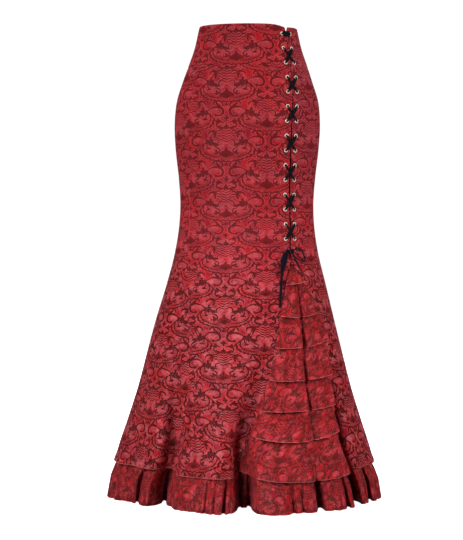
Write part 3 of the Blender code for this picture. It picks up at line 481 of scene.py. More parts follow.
# The damask's repeat, drawn in millimetres: x out from the column's axis, y down from its scrolls.
# A leaf is filled: its chart gives its outline's distance from its centre at each direction in degrees.
# A scroll is a line: one chart gives its distance from its centre, the other its half thickness.
damask = {
    "pitch": 93.5, "repeat": 136.0, "axis": -0.0490, "bandAxis": -0.0280, "weight": 1.62, "fuller": 0.30,
    "leaves": [  # tone, x, y, chart
        # Cross on the axis, the leaves beside it and the bud under it
        ("dark", 0, 14, ((-180, 6.5), (-135, 3.2), (-90, 7), (-45, 3.2), (0, 6.5), (45, 3.2), (90, 7.5),
                         (135, 3.2), (180, 6.5))),
        ("dark", 18, 21.5, ((-180, 7), (-120, 4), (-70, 6.5), (-30, 3.4), (0, 8), (35, 3.4), (90, 5.5),
                            (150, 4), (180, 7))),
        ("dark", 0, 32, ((-180, 4), (-120, 3), (-90, 7), (-60, 3), (0, 4), (45, 7), (90, 4), (135, 7),
                         (180, 4))),
        ("dark", 12, 35.5, ((-180, 6), (-150, 2.2), (-60, 2.2), (-20, 8), (20, 2.2), (120, 2.8), (160, 3),
                            (180, 6))),
        # Drooping flower of uneven petals, its long petal and the lens under it
        ("dark", 37, 71, ((-180, 12), (-158, 7), (-135, 10), (-112, 7), (-88, 14), (-62, 6.5), (-38, 11),
                          (-18, 6), (4, 14), (26, 5), (48, 8), (70, 5), (96, 8), (122, 6), (150, 13),
                          (166, 9), (180, 12))),
        ("dark", 25, 76, ((-180, 14), (-160, 5), (-120, 5), (-60, 5), (-20, 9), (0, 7), (40, 4.4),
                          (120, 4), (160, 5), (180, 14))),
        ("dark", 42, 84, ((-180, 9), (-158, 3.2), (-90, 2.4), (-50, 7), (-20, 3), (10, 7), (50, 2.8),
                          (90, 2.8), (158, 4), (180, 9))),
        # Tall bud on the axis, and its scales
        ("shade", 0, 97, ((-180, 17), (-160, 14), (-140, 11), (-120, 10), (-104, 12), (-90, 16), (-76, 12),
                          (-60, 10), (-40, 11), (-20, 14), (0, 17), (20, 11), (60, 7), (90, 7), (120, 7),
                          (160, 11), (180, 17))),
        ("dark", 0, 99, ((-180, 10), (-168, 3), (-140, 9), (-128, 3), (-100, 5), (-90, 14), (-80, 5),
                         (-52, 3), (-40, 9), (-12, 3), (0, 10), (20, 4), (90, 5), (160, 4), (180, 10))),
        # Leaf beside the bud, the one over the flower, and the small palms under the bowl
        ("dark", 22, 92, ((-180, 6), (-120, 2.6), (-60, 6), (0, 3), (60, 6), (120, 2.6), (180, 6))),
        ("dark", 26, 50, ((-180, 5), (-130, 2.4), (-70, 7), (-20, 2.4), (10, 6), (50, 2.4), (100, 6),
                          (150, 2.4), (180, 5))),
        ("dark", 0, 121, ((-180, 9), (-165, 3), (-140, 8), (-115, 3), (-90, 8), (-65, 3), (-40, 8),
                          (-15, 3), (0, 9), (25, 3), (90, 3), (155, 3), (180, 9))),
        ("dark", 20, 120, ((-180, 4), (-120, 2), (-40, 7), (0, 3), (60, 4), (140, 7), (180, 4))),
        # Lighter ground: inside the bowl and inside the scroll
        ("light", 24, 80, ((-180, 20), (-135, 17), (-90, 14), (-45, 20), (0, 26), (45, 20), (90, 14),
                           (135, 17), (180, 20))),
        ("light", 30, -2, ((-180, 12), (-135, 8), (-90, 6), (-45, 8), (0, 14), (45, 8), (90, 5), (135, 7),
                           (180, 12))),
    ],
    "scrolls": [  # tone, x, y, radius chart, half thickness chart
        # The open scroll beside the axis
        ("dark", 24, -1, ((-180, 16.4), (-157, 15.2), (-135, 12.8), (-104, 10.8), (-74, 10.8), (-45, 12.8),
                          (-23, 16.9), (6, 23.5), (30, 25), (55, 22), (70, 9), (90, 9), (112, 10.5),
                          (134, 13), (156, 15.3), (180, 16.4)),
         ((-180, 1.8), (-135, 1.6), (-74, 1.2), (-23, 1.0), (6, 1.2), (25, 0.6), (34, 0), (66, 0),
          (72, 1.4), (82, 2.2), (110, 1.3), (156, 1.6), (180, 1.8))),
        # The bowl: a scalloped outer line, an inner one, and the fringe that hangs between them
        ("dark", 0, 70, ((-180, 50), (-5, 47), (4, 56), (10, 62), (14, 67.4), (18, 65.6), (22, 67.4),
                         (26, 63.6), (30, 63.6), (34, 59), (38, 58.6), (43, 53.6), (48, 53.2), (54, 48.4),
                         (60, 48.4), (67, 44.2), (74, 45), (82, 42), (90, 43.6), (98, 42), (120, 46),
                         (180, 50)),
         ((-180, 0), (-10, 0), (-6, 1.0), (11, 1.6), (33, 1.3), (65, 1.0), (90, 1.0), (120, 1.0), (150, 0),
          (180, 0))),
        ("dark", 0, 70, ((-180, 40), (-5, 45), (4, 53), (11, 57), (16, 58.5), (24, 57.0), (33, 52.0),
                         (46, 45), (65, 38.6), (90, 36.3), (120, 38), (180, 40)),
         ((-180, 0), (-8, 0), (-4, 0.7), (11, 0.9), (40, 0.9), (60, 0.5), (66, 0), (180, 0))),
        ("dark", 0, 70, ((-180, 36), (0, 38), (24, 56), (33, 51), (46, 44.0), (65, 37.0), (90, 34),
                         (180, 34)),
         ((-180, 0), (22, 0), *((25 + 2.6 * k, 5.4 if k % 2 else -6.0) for k in range(27)), (95, 0),
          (180, 0))),
        # Tendrils inside the bowl, under the flower and beside the bud
        ("dark", 24, 88, ((-180, 9), (-90, 6), (0, 9), (90, 7), (180, 9)),
         ((-180, 0.9), (-120, 1.0), (-40, 0), (20, 0), (50, 0.8), (110, 0.9), (180, 0.9))),
        ("dark", 13, 72, ((-180, 7), (-90, 8), (0, 6), (90, 8), (180, 7)),
         ((-180, 0), (-150, 0), (-110, 0.7), (-40, 0.9), (30, 0.8), (70, 0), (180, 0))),
        # Curls above the flower, beside the fan and round the leaves by the cross
        ("dark", 33, 52, ((-180, 7), (-90, 8), (0, 10), (90, 9), (180, 7)),
         ((-180, 1.2), (-120, 1.2), (-60, 1.1), (-10, 0.8), (10, 0), (110, 0), (130, 1.2), (180, 1.2))),
        ("dark", 14, 30, ((-180, 9), (-90, 8), (0, 9), (90, 7), (180, 9)),
         ((-180, 0), (-160, 0), (-130, 0.9), (-60, 1.1), (0, 1.1), (40, 0.8), (60, 0), (180, 0))),
        ("dark", 20, 120, ((-180, 12), (-90, 9), (0, 13), (90, 9), (180, 12)),
         ((-180, 1.0), (-90, 1.1), (-20, 1.1), (10, 0), (100, 0), (130, 0.8), (180, 1.0))),
    ],
    "fan": {"top": 38, "bottom": 73, "half": 37, "rib": 5.8, "rake": 0.56},
}


def makeMotif():
    # One column of the damask: how far inside its dark and its shaded forms a point lies, in millimetres
    tree = bpy.data.node_groups.new("damaskMotif", "ShaderNodeTree")
    for name in ("x", "y"):
        tree.interface.new_socket(name, in_out="INPUT", socket_type="NodeSocketFloat")
    for name in ("dark", "shade", "light"):
        tree.interface.new_socket(name, in_out="OUTPUT", socket_type="NodeSocketFloat")
    ends, out = tree.nodes.new("NodeGroupInput"), tree.nodes.new("NodeGroupOutput")
    x, y = (Number(tree, ends.outputs[name]) for name in ("x", "y"))
    half = damask["repeat"] / 2
    inside = {"dark": [], "shade": [], "light": []}
    for tone, atX, atY, chart in damask["leaves"]:
        far, way = polar(x - atX, (y - atY).wrapped(half))
        inside[tone].append(way.charted(chart, -180, 180, 30) + damask["fuller"] - far)
    for tone, atX, atY, radii, halves in damask["scrolls"]:
        far, way = polar(x - atX, (y - atY).wrapped(half))
        away = (far - way.charted(radii, -180, 180, 60)).size()
        inside[tone].append(way.charted(halves, -180, 180, 6) * damask["weight"] - away - 0.05)
    fan = damask["fan"]
    down = (y - fan["top"]).wrapped(half)
    length = fan["bottom"] - fan["top"]
    within = (length - down) * (fan["half"] / length) - x.size()
    curl = (x * 0.55).through("SINE") * 1.1
    rib = ((down + x * fan["rake"] + curl) / fan["rib"]).through("PINGPONG", 0.5)
    ribs = (rib - 0.30) * fan["rib"]
    inside["dark"].append(within.least(ribs).least(down + 1.0))
    for tone, items in inside.items():
        total = items[0]
        for item in items[1:]:
            total = total.most(item)
        tree.links.new(total.socket, out.inputs[tone])
    return tree


motif = makeMotif()


def addNode(tree, kind, **settings):
    node = tree.nodes.new(kind)
    for name, value in settings.items():
        if hasattr(node, name):
            setattr(node, name, value)
        else:
            node.inputs[name.replace("_", " ").title()].default_value = value
    return node


def mixColours(tree, share, first, second):
    node = tree.nodes.new("ShaderNodeMix")
    node.data_type = "RGBA"
    for socket, item in ((node.inputs[0], share), (node.inputs[6], first), (node.inputs[7], second)):
        if isinstance(item, Number):
            tree.links.new(item.socket, socket)
        elif isinstance(item, bpy.types.NodeSocket):
            tree.links.new(item, socket)
        else:
            socket.default_value = (*item, 1) if isinstance(item, tuple) else item
    return node.outputs[2]


def newMaterial(name):
    material = bpy.data.materials.new(name)
    material.use_nodes = True
    tree = material.node_tree
    return material, tree, tree.nodes["Principled BSDF"]


def addNoise(tree, vector, scale, detail, roughness=0.5):
    node = addNode(tree, "ShaderNodeTexNoise", scale=scale, detail=detail, roughness=roughness)
    tree.links.new(vector, node.inputs["Vector"])
    return Number(tree, node.outputs[0])


def addBump(tree, shader, height, look):
    bump = addNode(tree, "ShaderNodeBump", strength=look["bump"], distance=look["raised"])
    tree.links.new(height, bump.inputs["Height"])
    tree.links.new(bump.outputs[0], shader.inputs["Normal"])


def setSheen(shader, look):
    shader.inputs["Sheen Weight"].default_value = look["sheen"]
    shader.inputs["Sheen Roughness"].default_value = look["sheenRoughness"]
    shader.inputs["Sheen Tint"].default_value = (*look["sheenTint"], 1)
    shader.inputs["Specular IOR Level"].default_value = look["specular"]


# Noises over the cut cloth: scale and detail
weave = {
    "waver": (260.0, 2.0), "drift": (38.0, 1.0), "fine": (700.0, 2.0), "patch": (52.0, 2.0),
    "bloom": (27.0, 2.0), "grain": (310.0, 1.0),
}


def makeBrocade(name, look):
    # The figure is looked up from the cut's own coordinates, in columns that are each half a repeat lower
    material, tree, shader = newMaterial(name)
    cut = addNode(tree, "ShaderNodeUVMap", uv_map="cut").outputs[0]
    parts = tree.nodes.new("ShaderNodeSeparateXYZ")
    tree.links.new(cut, parts.inputs[0])
    across, down = Number(tree, parts.outputs[0]), Number(tree, parts.outputs[1])
    waver, drift, fine, patch, bloom, grain = (addNoise(tree, cut, *each) for each in weave.values())
    broad = addNoise(tree, cut, look["broad"], 3.0)
    mottle = addNoise(tree, cut, look["mottles"], 3.0, 0.75)

    # The threads waver, finely and broadly, so no outline is drawn with a ruler and no two repeats are alike
    wave = (waver - 0.5) * look["waver"] + (drift - 0.5) * look["drift"]
    column = (across * (1000 / damask["pitch"])).through("ROUND")
    x = ((across * 1000 - column * damask["pitch"]) + wave).size()
    drop = column.through("FLOORED_MODULO", 2.0) * (damask["repeat"] / 2)
    y = down * 1000 + drop + wave
    masks = []
    for atX, atY in ((x, y), (damask["pitch"] - x, y + damask["repeat"] / 2)):
        group = tree.nodes.new("ShaderNodeGroup")
        group.node_tree = motif
        tree.links.new(atX.socket, group.inputs["x"])
        tree.links.new(atY.socket, group.inputs["y"])
        masks.append([Number(tree, group.outputs[tone]) for tone in ("dark", "shade", "light")])
    dark, shade, light = (masks[0][k].most(masks[1][k]) for k in range(3))
    shadeMask = shade.ramp(-0.5, 0.5)
    outline = (dark.most(shade) + 1.15).size().ramp(0.95, 0.35)

    # Ground: broad and fine changes of tone, and the threads
    weft = addNode(tree, "ShaderNodeTexWave", bands_direction="Y", scale=look["weft"], distortion=1.5,
                   detail=1.0)
    tree.links.new(cut, weft.inputs["Vector"])
    fineShare = fine.ramp(0.3, 0.7)
    flareLit = down.ramp(*look["flareLitSpan"])  # painted light: the flare is drawn paler in its ground and bolder in its figure, as more light falls on it
    # The figure's threads are broken by the ground's, and a few of them float beside it
    floats = dark.ramp(-5.0, -0.6) * grain.ramp(0.47, 0.41) * look["floats"]
    kept = grain.ramp(0.41, 0.50) * look["broken"] + (1 - look["broken"])
    # Painted light: the figure is drawn bolder on the flare
    darkMask = ((dark + flareLit * look["bolder"]).ramp(-0.35, 0.35) * kept).most(floats)
    ground = mixColours(tree, broad.ramp(0.35, 0.65), look["ground"], look["groundLow"])
    for share, tone in (
        (bloom.ramp(0.47, 0.60) * look["bloomShare"], "bloom"),
        (bloom.ramp(0.49, 0.38) * look["wineShare"], "wine"),
        # Painted shade: a dark purple tone drawn towards the top, where it is used
        (down.ramp(*look["paintedShadeFade"]) * look["paintedShade"], "paintedShadeTone"),
        # The lighter ground, the pale patches and the dark mottles are the cloth's own tones; drawn stronger
        # on the flare, they are also painted light and painted sheen
        (light.ramp(-2.0, 2.0) * (flareLit * 0.5 + 0.5) * look["lightShare"], "light"),
        (fineShare * look["threadShare"], "thread"),
        (patch.ramp(0.46, 0.66) * (flareLit * 0.7 + 0.3) * look["patchShare"], "light"),
        (mottle.ramp(0.44, 0.64) * (flareLit * 0.5 + 0.7) * look["mottleShare"], "deep"),
    ):
        ground = mixColours(tree, share, ground, look[tone])
    shaded = mixColours(tree, fineShare * look["shadeThreads"], look["shade"], look["shadeHigh"])
    figure = mixColours(tree, fineShare * look["figureThreads"], look["dark"], look["darkHigh"])
    # Painted light: above the flare the figure is drawn paler, as less light falls there
    figure = mixColours(tree, (1.0 - flareLit) * look["softer"], figure, look["soft"])
    colour = mixColours(tree, shadeMask * look["shadeShare"], ground, shaded)
    colour = mixColours(tree, outline * look["outlineShare"], colour, look["outline"])
    colour = mixColours(tree, darkMask * look["darkShare"], colour, figure)
    tree.links.new(colour, shader.inputs["Base Color"])
    covered = darkMask.most(shadeMask)
    rough = covered * look["rougherFigure"] + (fineShare * look["rougherFine"] + look["roughness"])
    tree.links.new(rough.socket, shader.inputs["Roughness"])
    setSheen(shader, look)
    shader.inputs["Specular Tint"].default_value = (*look["specularTint"], 1)
    relief = covered * 0.5 + Number(tree, weft.outputs[0]) * 0.25 + fineShare * 0.25
    addBump(tree, shader, relief.socket, look)
    return material


brocadeLook = {
    "ground": (0.42, 0.0115, 0.0225), "groundLow": (0.34, 0.0090, 0.0165), "thread": (0.50, 0.024, 0.034),
    "bloom": (0.60, 0.0080, 0.0130), "bloomShare": 0.75, "wine": (0.23, 0.0080, 0.0240), "wineShare": 0.68,
    "light": (0.60, 0.126, 0.150), "lightShare": 0.58, "patchShare": 0.72, "deep": (0.13, 0.004, 0.006),
    # Painted shade: a tone drawn over the top of the cloth where it is used, and the span it fades over
    "mottleShare": 0.58, "mottles": 110.0, "paintedShade": 0.0, "paintedShadeTone": (0.12, 0.012, 0.032),
    "paintedShadeFade": (0.30, 0.08), "shade": (0.15, 0.009, 0.012), "shadeHigh": (0.22, 0.016, 0.020),
    "dark": (0.032, 0.0020, 0.0010), "darkHigh": (0.085, 0.0080, 0.0055),
    # Painted light: the paler figure drawn above the flare, and how much of it
    "soft": (0.150, 0.016, 0.019), "softer": 0.66,
    "outline": (0.66, 0.090, 0.100), "shadeShare": 0.82, "darkShare": 0.96, "outlineShare": 0.55,
    # Painted light: the span down the cut over which the flare is drawn lit, and how much bolder its figure
    # is drawn
    "broken": 0.28, "floats": 0.42, "flareLitSpan": (0.28, 0.48), "bolder": 0.40, "waver": 2.2, "drift": 5.0,
    # How much the fine threads show in the ground, the shaded forms and the figure
    "threadShare": 0.35, "shadeThreads": 0.5, "figureThreads": 0.6, "broad": 9.0, "weft": 320.0,
    "roughness": 0.38, "rougherFigure": 0.25, "rougherFine": 0.06, "bump": 0.35, "raised": 0.0006,
    "sheen": 0.30, "sheenTint": (0.76, 0.40, 0.70), "sheenRoughness": 0.22,
    "specular": 0.36, "specularTint": (1.0, 0.45, 0.50),
}
ruffleLook = dict(
    brocadeLook, ground=(0.40, 0.0090, 0.0185), groundLow=(0.30, 0.0055, 0.0105), light=(0.62, 0.072, 0.088),
    dark=(0.045, 0.012, 0.009), darkHigh=(0.095, 0.024, 0.017), deep=(0.10, 0.007, 0.006), mottleShare=0.78,
    mottles=66.0, outlineShare=0.20, darkShare=0.84, bolder=0.0, broken=0.50, waver=3.2, specular=0.30,
    # The ruffles are drawn with the flare's painted light all over
    flareLitSpan=(-2.0, -1.0), patchShare=0.52,
)
shadedSideLook = dict(brocadeLook, paintedShade=0.60)  # painted shade: the cloth right of the slit is drawn darker and more purple towards the top, as less light falls there
backLook = dict(
    brocadeLook, ground=(0.16, 0.016, 0.024), groundLow=(0.12, 0.012, 0.018), thread=(0.22, 0.03, 0.04),
    bloom=(0.18, 0.016, 0.024), wine=(0.12, 0.012, 0.02), light=(0.18, 0.02, 0.03), shade=(0.42, 0.03, 0.045),
    shadeHigh=(0.45, 0.04, 0.05), dark=(0.40, 0.03, 0.045), darkHigh=(0.45, 0.04, 0.05),
    soft=(0.42, 0.03, 0.045), outline=(0.20, 0.03, 0.04), deep=(0.10, 0.01, 0.015), roughness=0.7, sheen=0.1,
    darkShare=0.6,
)
brocade = makeBrocade("redBrocade", brocadeLook)
# The cloth right of the slit, with painted shade towards its top
shadedBrocadeSide = makeBrocade("redBrocadeShadedSide", shadedSideLook)
ruffleBrocade = makeBrocade("redBrocadeRuffle", ruffleLook)
brocadeBack = makeBrocade("redBrocadeBack", backLook)


def makeThread(name, look):
    # Twisted or ribbed yarn: fine bars along the piece's own length, with a little change of tone
    material, tree, shader = newMaterial(name)
    cut = addNode(tree, "ShaderNodeUVMap", uv_map="cut").outputs[0]
    bars = addNode(tree, "ShaderNodeTexWave", bands_direction=look["bars"], scale=look["scale"],
                   distortion=0.6)
    tree.links.new(cut, bars.inputs["Vector"])
    share = addNoise(tree, cut, look["noise"], 3.0).ramp(0.3, 0.7)
    tree.links.new(mixColours(tree, share, look["colour"], look["other"]), shader.inputs["Base Color"])
    rough = share * look["rougher"] + look["roughness"]
    tree.links.new(rough.socket, shader.inputs["Roughness"])
    addBump(tree, shader, bars.outputs[0], look)
    setSheen(shader, look)
    return material


satinLook = {
    "bars": "X", "scale": 700.0, "noise": 160.0, "colour": (0.004, 0.006, 0.004),
    "other": (0.008, 0.007, 0.012), "roughness": 0.42, "rougher": 0.12, "bump": 0.35, "raised": 0.0003,
    "sheen": 0.02, "sheenTint": (0.70, 0.80, 0.75), "sheenRoughness": 0.35, "specular": 0.35,
}
bowLook = dict(satinLook, other=(0.013, 0.005, 0.021), sheen=0.05, sheenTint=(0.62, 0.30, 0.90),
               specular=0.25)
edgeLook = dict(satinLook, bars="Y", scale=380.0, noise=90.0, colour=(0.68, 0.17, 0.15),
                other=(0.55, 0.10, 0.10), roughness=0.55, bump=0.8, sheen=0.2, sheenTint=(1.0, 0.8, 0.8),
                specular=0.3)
satin = makeThread("blackSatin", satinLook)
bowSatin = makeThread("blackSatinBow", bowLook)
merrow = makeThread("pinkEdgeThread", edgeLook)

brassLook = {
    "colour": (1.0, 0.90, 0.74), "other": (0.90, 0.78, 0.60), "spots": 900.0,
    "roughness": 0.20, "rougher": 0.14, "metallic": 0.05,
}


def makeBrass():
    # Fine spots between two pale tones
    material, tree, shader = newMaterial("paleBrass")
    coordinates = tree.nodes.new("ShaderNodeTexCoord")
    share = addNoise(tree, coordinates.outputs["Object"], brassLook["spots"], 4.0).ramp(0.35, 0.65)
    colour = mixColours(tree, share, brassLook["colour"], brassLook["other"])
    tree.links.new(colour, shader.inputs["Base Color"])
    rough = share * brassLook["rougher"] + brassLook["roughness"]
    tree.links.new(rough.socket, shader.inputs["Roughness"])
    shader.inputs["Metallic"].default_value = brassLook["metallic"]
    return material


brass = makeBrass()
print("materials made")

# The lace's free ends
knotLeft, knotRight = -0.0055 - skirt["gap"], 0.0055 + skirt["gap"]
bowEnds = {
    "left": {"length": 0.135, "diameter": 0.0060, "node": "bow_end_left", "stops": [
        (knotLeft + 0.0010, 0.5765, 0.0046, 0.0034, "up"),
        (-0.0078, 0.5762, 0.0044, 0.0042, (0.20, 0.98, 0)),
        (-0.0110, 0.5705, 0.0038, 0.0060, (0.75, 0.66, 0)),
        (-0.0160, 0.5570, 0.0034, 0.0060, (0.93, 0.37, 0)),
        (-0.0200, 0.5380, 0.0032, 0.0060, (0.99, 0.15, 0)), (-0.0222, 0.5150, 0.0030, 0.0060, "across"),
        (-0.0240, 0.4850, 0.0029, 0.0058, "across"), (-0.0262, 0.4510, 0.0028, 0.0056, "across"),
    ]},
    "right": {"length": 0.050, "diameter": 0.0050, "node": "bow_end_right", "stops": [
        (0.0030, 0.5745, 0.0060, 0.0034, "across"), (0.0032, 0.5717, 0.0061, 0.0040, "across"),
        (0.0060, 0.5650, 0.0072, 0.0050, (0.94, 0.34, 0)), (0.0110, 0.5540, 0.0095, 0.0050, (0.90, 0.43, 0)),
        (0.0160, 0.5430, 0.0125, 0.0050, (0.90, 0.43, 0)), (0.0205, 0.5320, 0.0160, 0.0050, (0.90, 0.43, 0)),
    ]},
}
for side, end in bowEnds.items():
    piece, centre = ribbon(f"bow_end_{side}_ribbon", end["stops"], 0.0010, cup=0.0002)
    finishPiece(piece, "black_satin", [bowSatin], end["node"])
print("lace ends made")

# The cloth's panels. How the damask lies on the front: height, and the count of repeats down to it
patternRows = ((1.003, 0.953, 0.891, 0.817, 0.678, 0.627, 0.557, 0.509, 0.440, 0.385, 0.3155, 0.260, 0.189,
                0.130, 0.074, 0.000),
               (-0.77, -0.41, 0.04, 0.59, 1.59, 2.0, 2.59, 3.0, 3.57, 4.0, 4.57, 5.0, 5.57, 6.0, 6.43, 7.0))


def halfGap(height):
    # Half the gap at the slit: it closes at its lower end, is drawn narrower towards the top, and widens
    # where the top corners are rounded off
    nearTop = np.clip((height - skirt["top"] + lacing["notchDepth"]) / lacing["notchDepth"], 0, None)
    nearEnd = np.clip((height - skirt["apex"]) / lacing["closes"], 0, 1)
    drawn = 1 - lacing["drawn"] * np.clip((height - lacing["drawnFrom"][0]) / lacing["drawnFrom"][1], 0, 1)
    plain = skirt["sewn"] / 2 + (lacing["slitGap"] * drawn - skirt["sewn"]) / 2 * nearEnd
    return plain + (lacing["notchGap"] - lacing["slitGap"]) / 2 * nearTop**2


def placket(side, distance, height):
    # The angle at a distance from the slit's middle line, or from the godet's border below it
    godet = "godetLeft" if side < 0 else "godetRight"
    return np.where(height > skirt["apex"], line("slit", height, side * distance),
                    line(godet, height, side * distance))


def seamLine(angle, side):
    # A seam's angle at each height, moved by half of what neighbours run into each other
    return lambda height: shift(angle, height, side * skirt["sewn"] / 2)


def drawnLine(name, side):
    # The same for a line that is drawn down the front
    return lambda height: line(name, height, side * skirt["sewn"] / 2)


def evenSteps(start, end, step):
    # Equal steps, none longer than the given one
    return np.linspace(start, end, max(2, int(math.ceil(abs(end - start) / step)) + 1))


def rowsBetween(low, high, eyelets=()):
    # Even rows, with closer ones across each eyelet's square of cloth
    half = lacing["cell"] / 2
    rows, at = [], low
    for middle in sorted(eyelets):
        rows += list(evenSteps(at, middle - half, skirt["grid"])[:-1])
        rows += list(np.linspace(middle - half, middle + half, 9)[:-1])
        at = middle + half
    return np.array(rows + list(evenSteps(at, high, skirt["grid"])))


def evenShares(start, end, height, step, deeper=None):
    # Shares of the way between two angles, at even steps along the folded cloth
    fine = np.linspace(start, end, 4000)
    points = place(fine, height + 0 * fine, 0.0, 0.0 if deeper is None else deeper(fine))
    path = np.concatenate([[0], np.cumsum(np.linalg.norm(np.diff(points, axis=0), axis=1))])
    at = np.linspace(0, path[-1], int(math.ceil(path[-1] / step)) + 1)
    return (np.interp(at, path, fine) - start) / (end - start)


def arcAlong(points):
    # Sum of the steps along each row
    steps = np.linalg.norm(np.diff(points, axis=1), axis=-1)
    return np.concatenate([np.zeros((len(points), 1)), np.cumsum(steps, axis=1)], axis=1)


def edgeRoll(arc, height, low, high, sewn):
    # Cloth turns in at each sewn edge, by half a bell: depth x exp(-(away / breadth)^2)
    depth, breadth = skirt["roll"]
    roll = np.zeros(arc.shape)
    edges = {"left": arc, "right": arc[:, -1:] - arc, "top": high - height, "bottom": height - low}
    for name, away in edges.items():
        if name in sewn:
            roll = roll - depth * np.exp(-((away / breadth) ** 2))
    return roll


# The overlocked thread along a lower edge: how far inside the outer face it runs, its radius, and its rise
edging = {"panel": (0.0007, 0.0009, 0), "tier": (0.0008, 0.0009, 0), "frill": (0.0008, 0.0010, 0.0010)}


def addEdging(kind, name, outer, slot):
    # A tube along the outer grid's lowest row
    inset, radius, rise = edging[kind]
    normals = gridNormals(outer)[0]
    path = outer[0] - inset * normals + np.array([0, 0, rise])
    return finishPiece(edgeTube(name + "_edge", path, normals, radius), slot, [merrow])


def lacedStrip(rows, side, eyelets):
    # Columns counted from the slit: their angles and heights, and the faces that are kept. Those round each
    # eyelet's middle are left out, and the corners about them are moved to the hole's edge.
    offset, hole = lacing["offset"], lacing["clothHole"]
    edge, cell, inner = lacing["strip"]
    near = np.concatenate([evenSteps(inner, cell, lacing["stripStep"])[:-1], np.linspace(cell, edge, 9)])
    closer = edge + (halfGap(rows)[:, None] - edge) * np.array(lacing["edgeShares"])
    distance = np.concatenate([np.broadcast_to(near, (len(rows), len(near))), closer], axis=1)
    level = np.repeat(rows[:, None], distance.shape[1], axis=1)
    keep = np.ones((len(rows) - 1, distance.shape[1] - 1), dtype=bool)
    for middle in eyelets:
        faceX = (distance[:-1, :-1] + distance[1:, 1:]) / 2 - offset
        faceY = (level[:-1, :-1] + level[1:, 1:]) / 2 - middle
        gone = np.hypot(faceX, faceY) < hole
        keep &= ~gone
        touched = np.zeros(level.shape, dtype=int)
        for i, j in ((0, 0), (0, 1), (1, 0), (1, 1)):
            touched[i:len(rows) - 1 + i, j:distance.shape[1] - 1 + j] += gone
        rim = (touched > 0) & (touched < 4)
        far = np.hypot(distance - offset, level - middle)
        scale = np.where(rim, hole / np.maximum(far, 1e-6), 1)
        distance, level = offset + (distance - offset) * scale, middle + (level - middle) * scale
    angle = placket(side, distance, level)
    return (angle, level, keep) if side < 0 else (angle[:, ::-1], level[:, ::-1], keep[:, ::-1])


def makePanel(node, columns, rows, laceSide=0, eyelets=(), sewn=(), axis=0.0, axisAngle=None,
              repeatShift=0.0):
    # A grid of angles by heights between two lines, or between one line and the slit, on the folded form,
    # with the creases, the roll at sewn edges, the dip along the top, and the hem's flick and sag added
    name = node.removesuffix("_panel") + "_cloth"
    if laceSide:
        nearAngle, level, keepNear = lacedStrip(rows, laceSide, eyelets)
        border = placket(laceSide, lacing["strip"][2], rows)
        start, end = (columns(rows), border) if laceSide < 0 else (border, columns(rows))
    else:
        start, end = columns[0](rows), columns[1](rows)
    share = evenShares(start[0], end[0], rows[0], skirt["grid"])[None, :]
    angle = start[:, None] + share * (end - start)[:, None]
    height = np.repeat(rows[:, None], angle.shape[1], axis=1)
    keep = np.ones((angle.shape[0] - 1, angle.shape[1] - 1), dtype=bool)
    if laceSide < 0:
        angle = np.concatenate([angle, nearAngle[:, 1:]], axis=1)
        height = np.concatenate([height, level[:, 1:]], axis=1)
        keep = np.concatenate([keep, keepNear], axis=1)
    elif laceSide > 0:
        angle = np.concatenate([nearAngle[:, :-1], angle], axis=1)
        height = np.concatenate([level[:, :-1], height], axis=1)
        keep = np.concatenate([keepNear, keep], axis=1)
    arc = arcAlong(place(angle, height))
    above = height - lacing["first"] - skirt["dipAbove"]
    nearTop = np.clip(above / (skirt["top"] - lacing["first"] - skirt["dipAbove"]), 0, 1)
    fromSlit = (angle - line("slit", height)) * turnRate(angle, height)
    height = height - np.interp(fromSlit, *skirt["topDip"]) * nearTop**1.3
    nearHem = np.exp(-(((height - skirt["hem"]) / skirt["hemReach"]) ** 2))
    if laceSide < 0:
        (first, grows), (last, fades) = skirt["sagFrom"], skirt["sagTo"]
        sag = np.clip((angle - first) / grows, 0, 1) * np.clip((last - angle) / fades, 0, 1)
        height = height - skirt["sag"] * sag * nearHem
    lift = creaseDepth(angle, height) + edgeRoll(arc, height, rows[0], rows[-1], sewn)
    lift = lift + skirt["flick"] * nearHem
    outer = place(angle, height, lift)
    # Flat cut: across from the panel's own grain line, and down in the damask's repeats
    if axisAngle is None:
        grain = arc[:, -1:] / 2
    else:
        at = np.broadcast_to(axisAngle(rows), rows.shape)
        grain = np.array([np.interp(a, angle[i], arc[i]) for i, a in enumerate(at)])[:, None]
    across = arc - grain - axis
    down = (smooth(*patternRows, height) + repeatShift) * damask["repeat"] / 1000
    aboveRows = (repeatShift + patternRows[1][0]) * damask["repeat"] / 1000 + patternRows[0][0] - height
    down = np.where(height > patternRows[0][0], aboveRows, down)
    made = clothShell(name, outer, skirt["wall"], np.stack([across, down], axis=-1), keep)
    # The cloth right of the slit takes the material with painted shade
    finishPiece(made, "brocade", [shadedBrocadeSide if laceSide > 0 else brocade, brocadeBack], node)
    if rows[0] > skirt["hem"]:
        return made, []
    return made, [addEdging("panel", name, outer, "brocade")]


def eyeletHeights(first, last):
    # Even steps down from the first row
    return [lacing["first"] - row * lacing["pitch"] for row in range(first, last)]


band, hem, seam = skirt["bandSeam"], skirt["hem"], skirt["sewn"] / 2
bandEyelets = eyeletHeights(0, lacing["bandRows"])
panelEyelets = eyeletHeights(lacing["bandRows"], lacing["rows"])
bandRows = rowsBetween(band + seam, skirt["top"], bandEyelets)
lacedRows = rowsBetween(hem, band - seam, panelEyelets)
plainRows = rowsBetween(hem, band - seam)


def bandAxis(rows):
    return shift(0.0, rows, damask["bandAxis"])


def frontAxis(rows):
    return np.zeros(rows.shape)


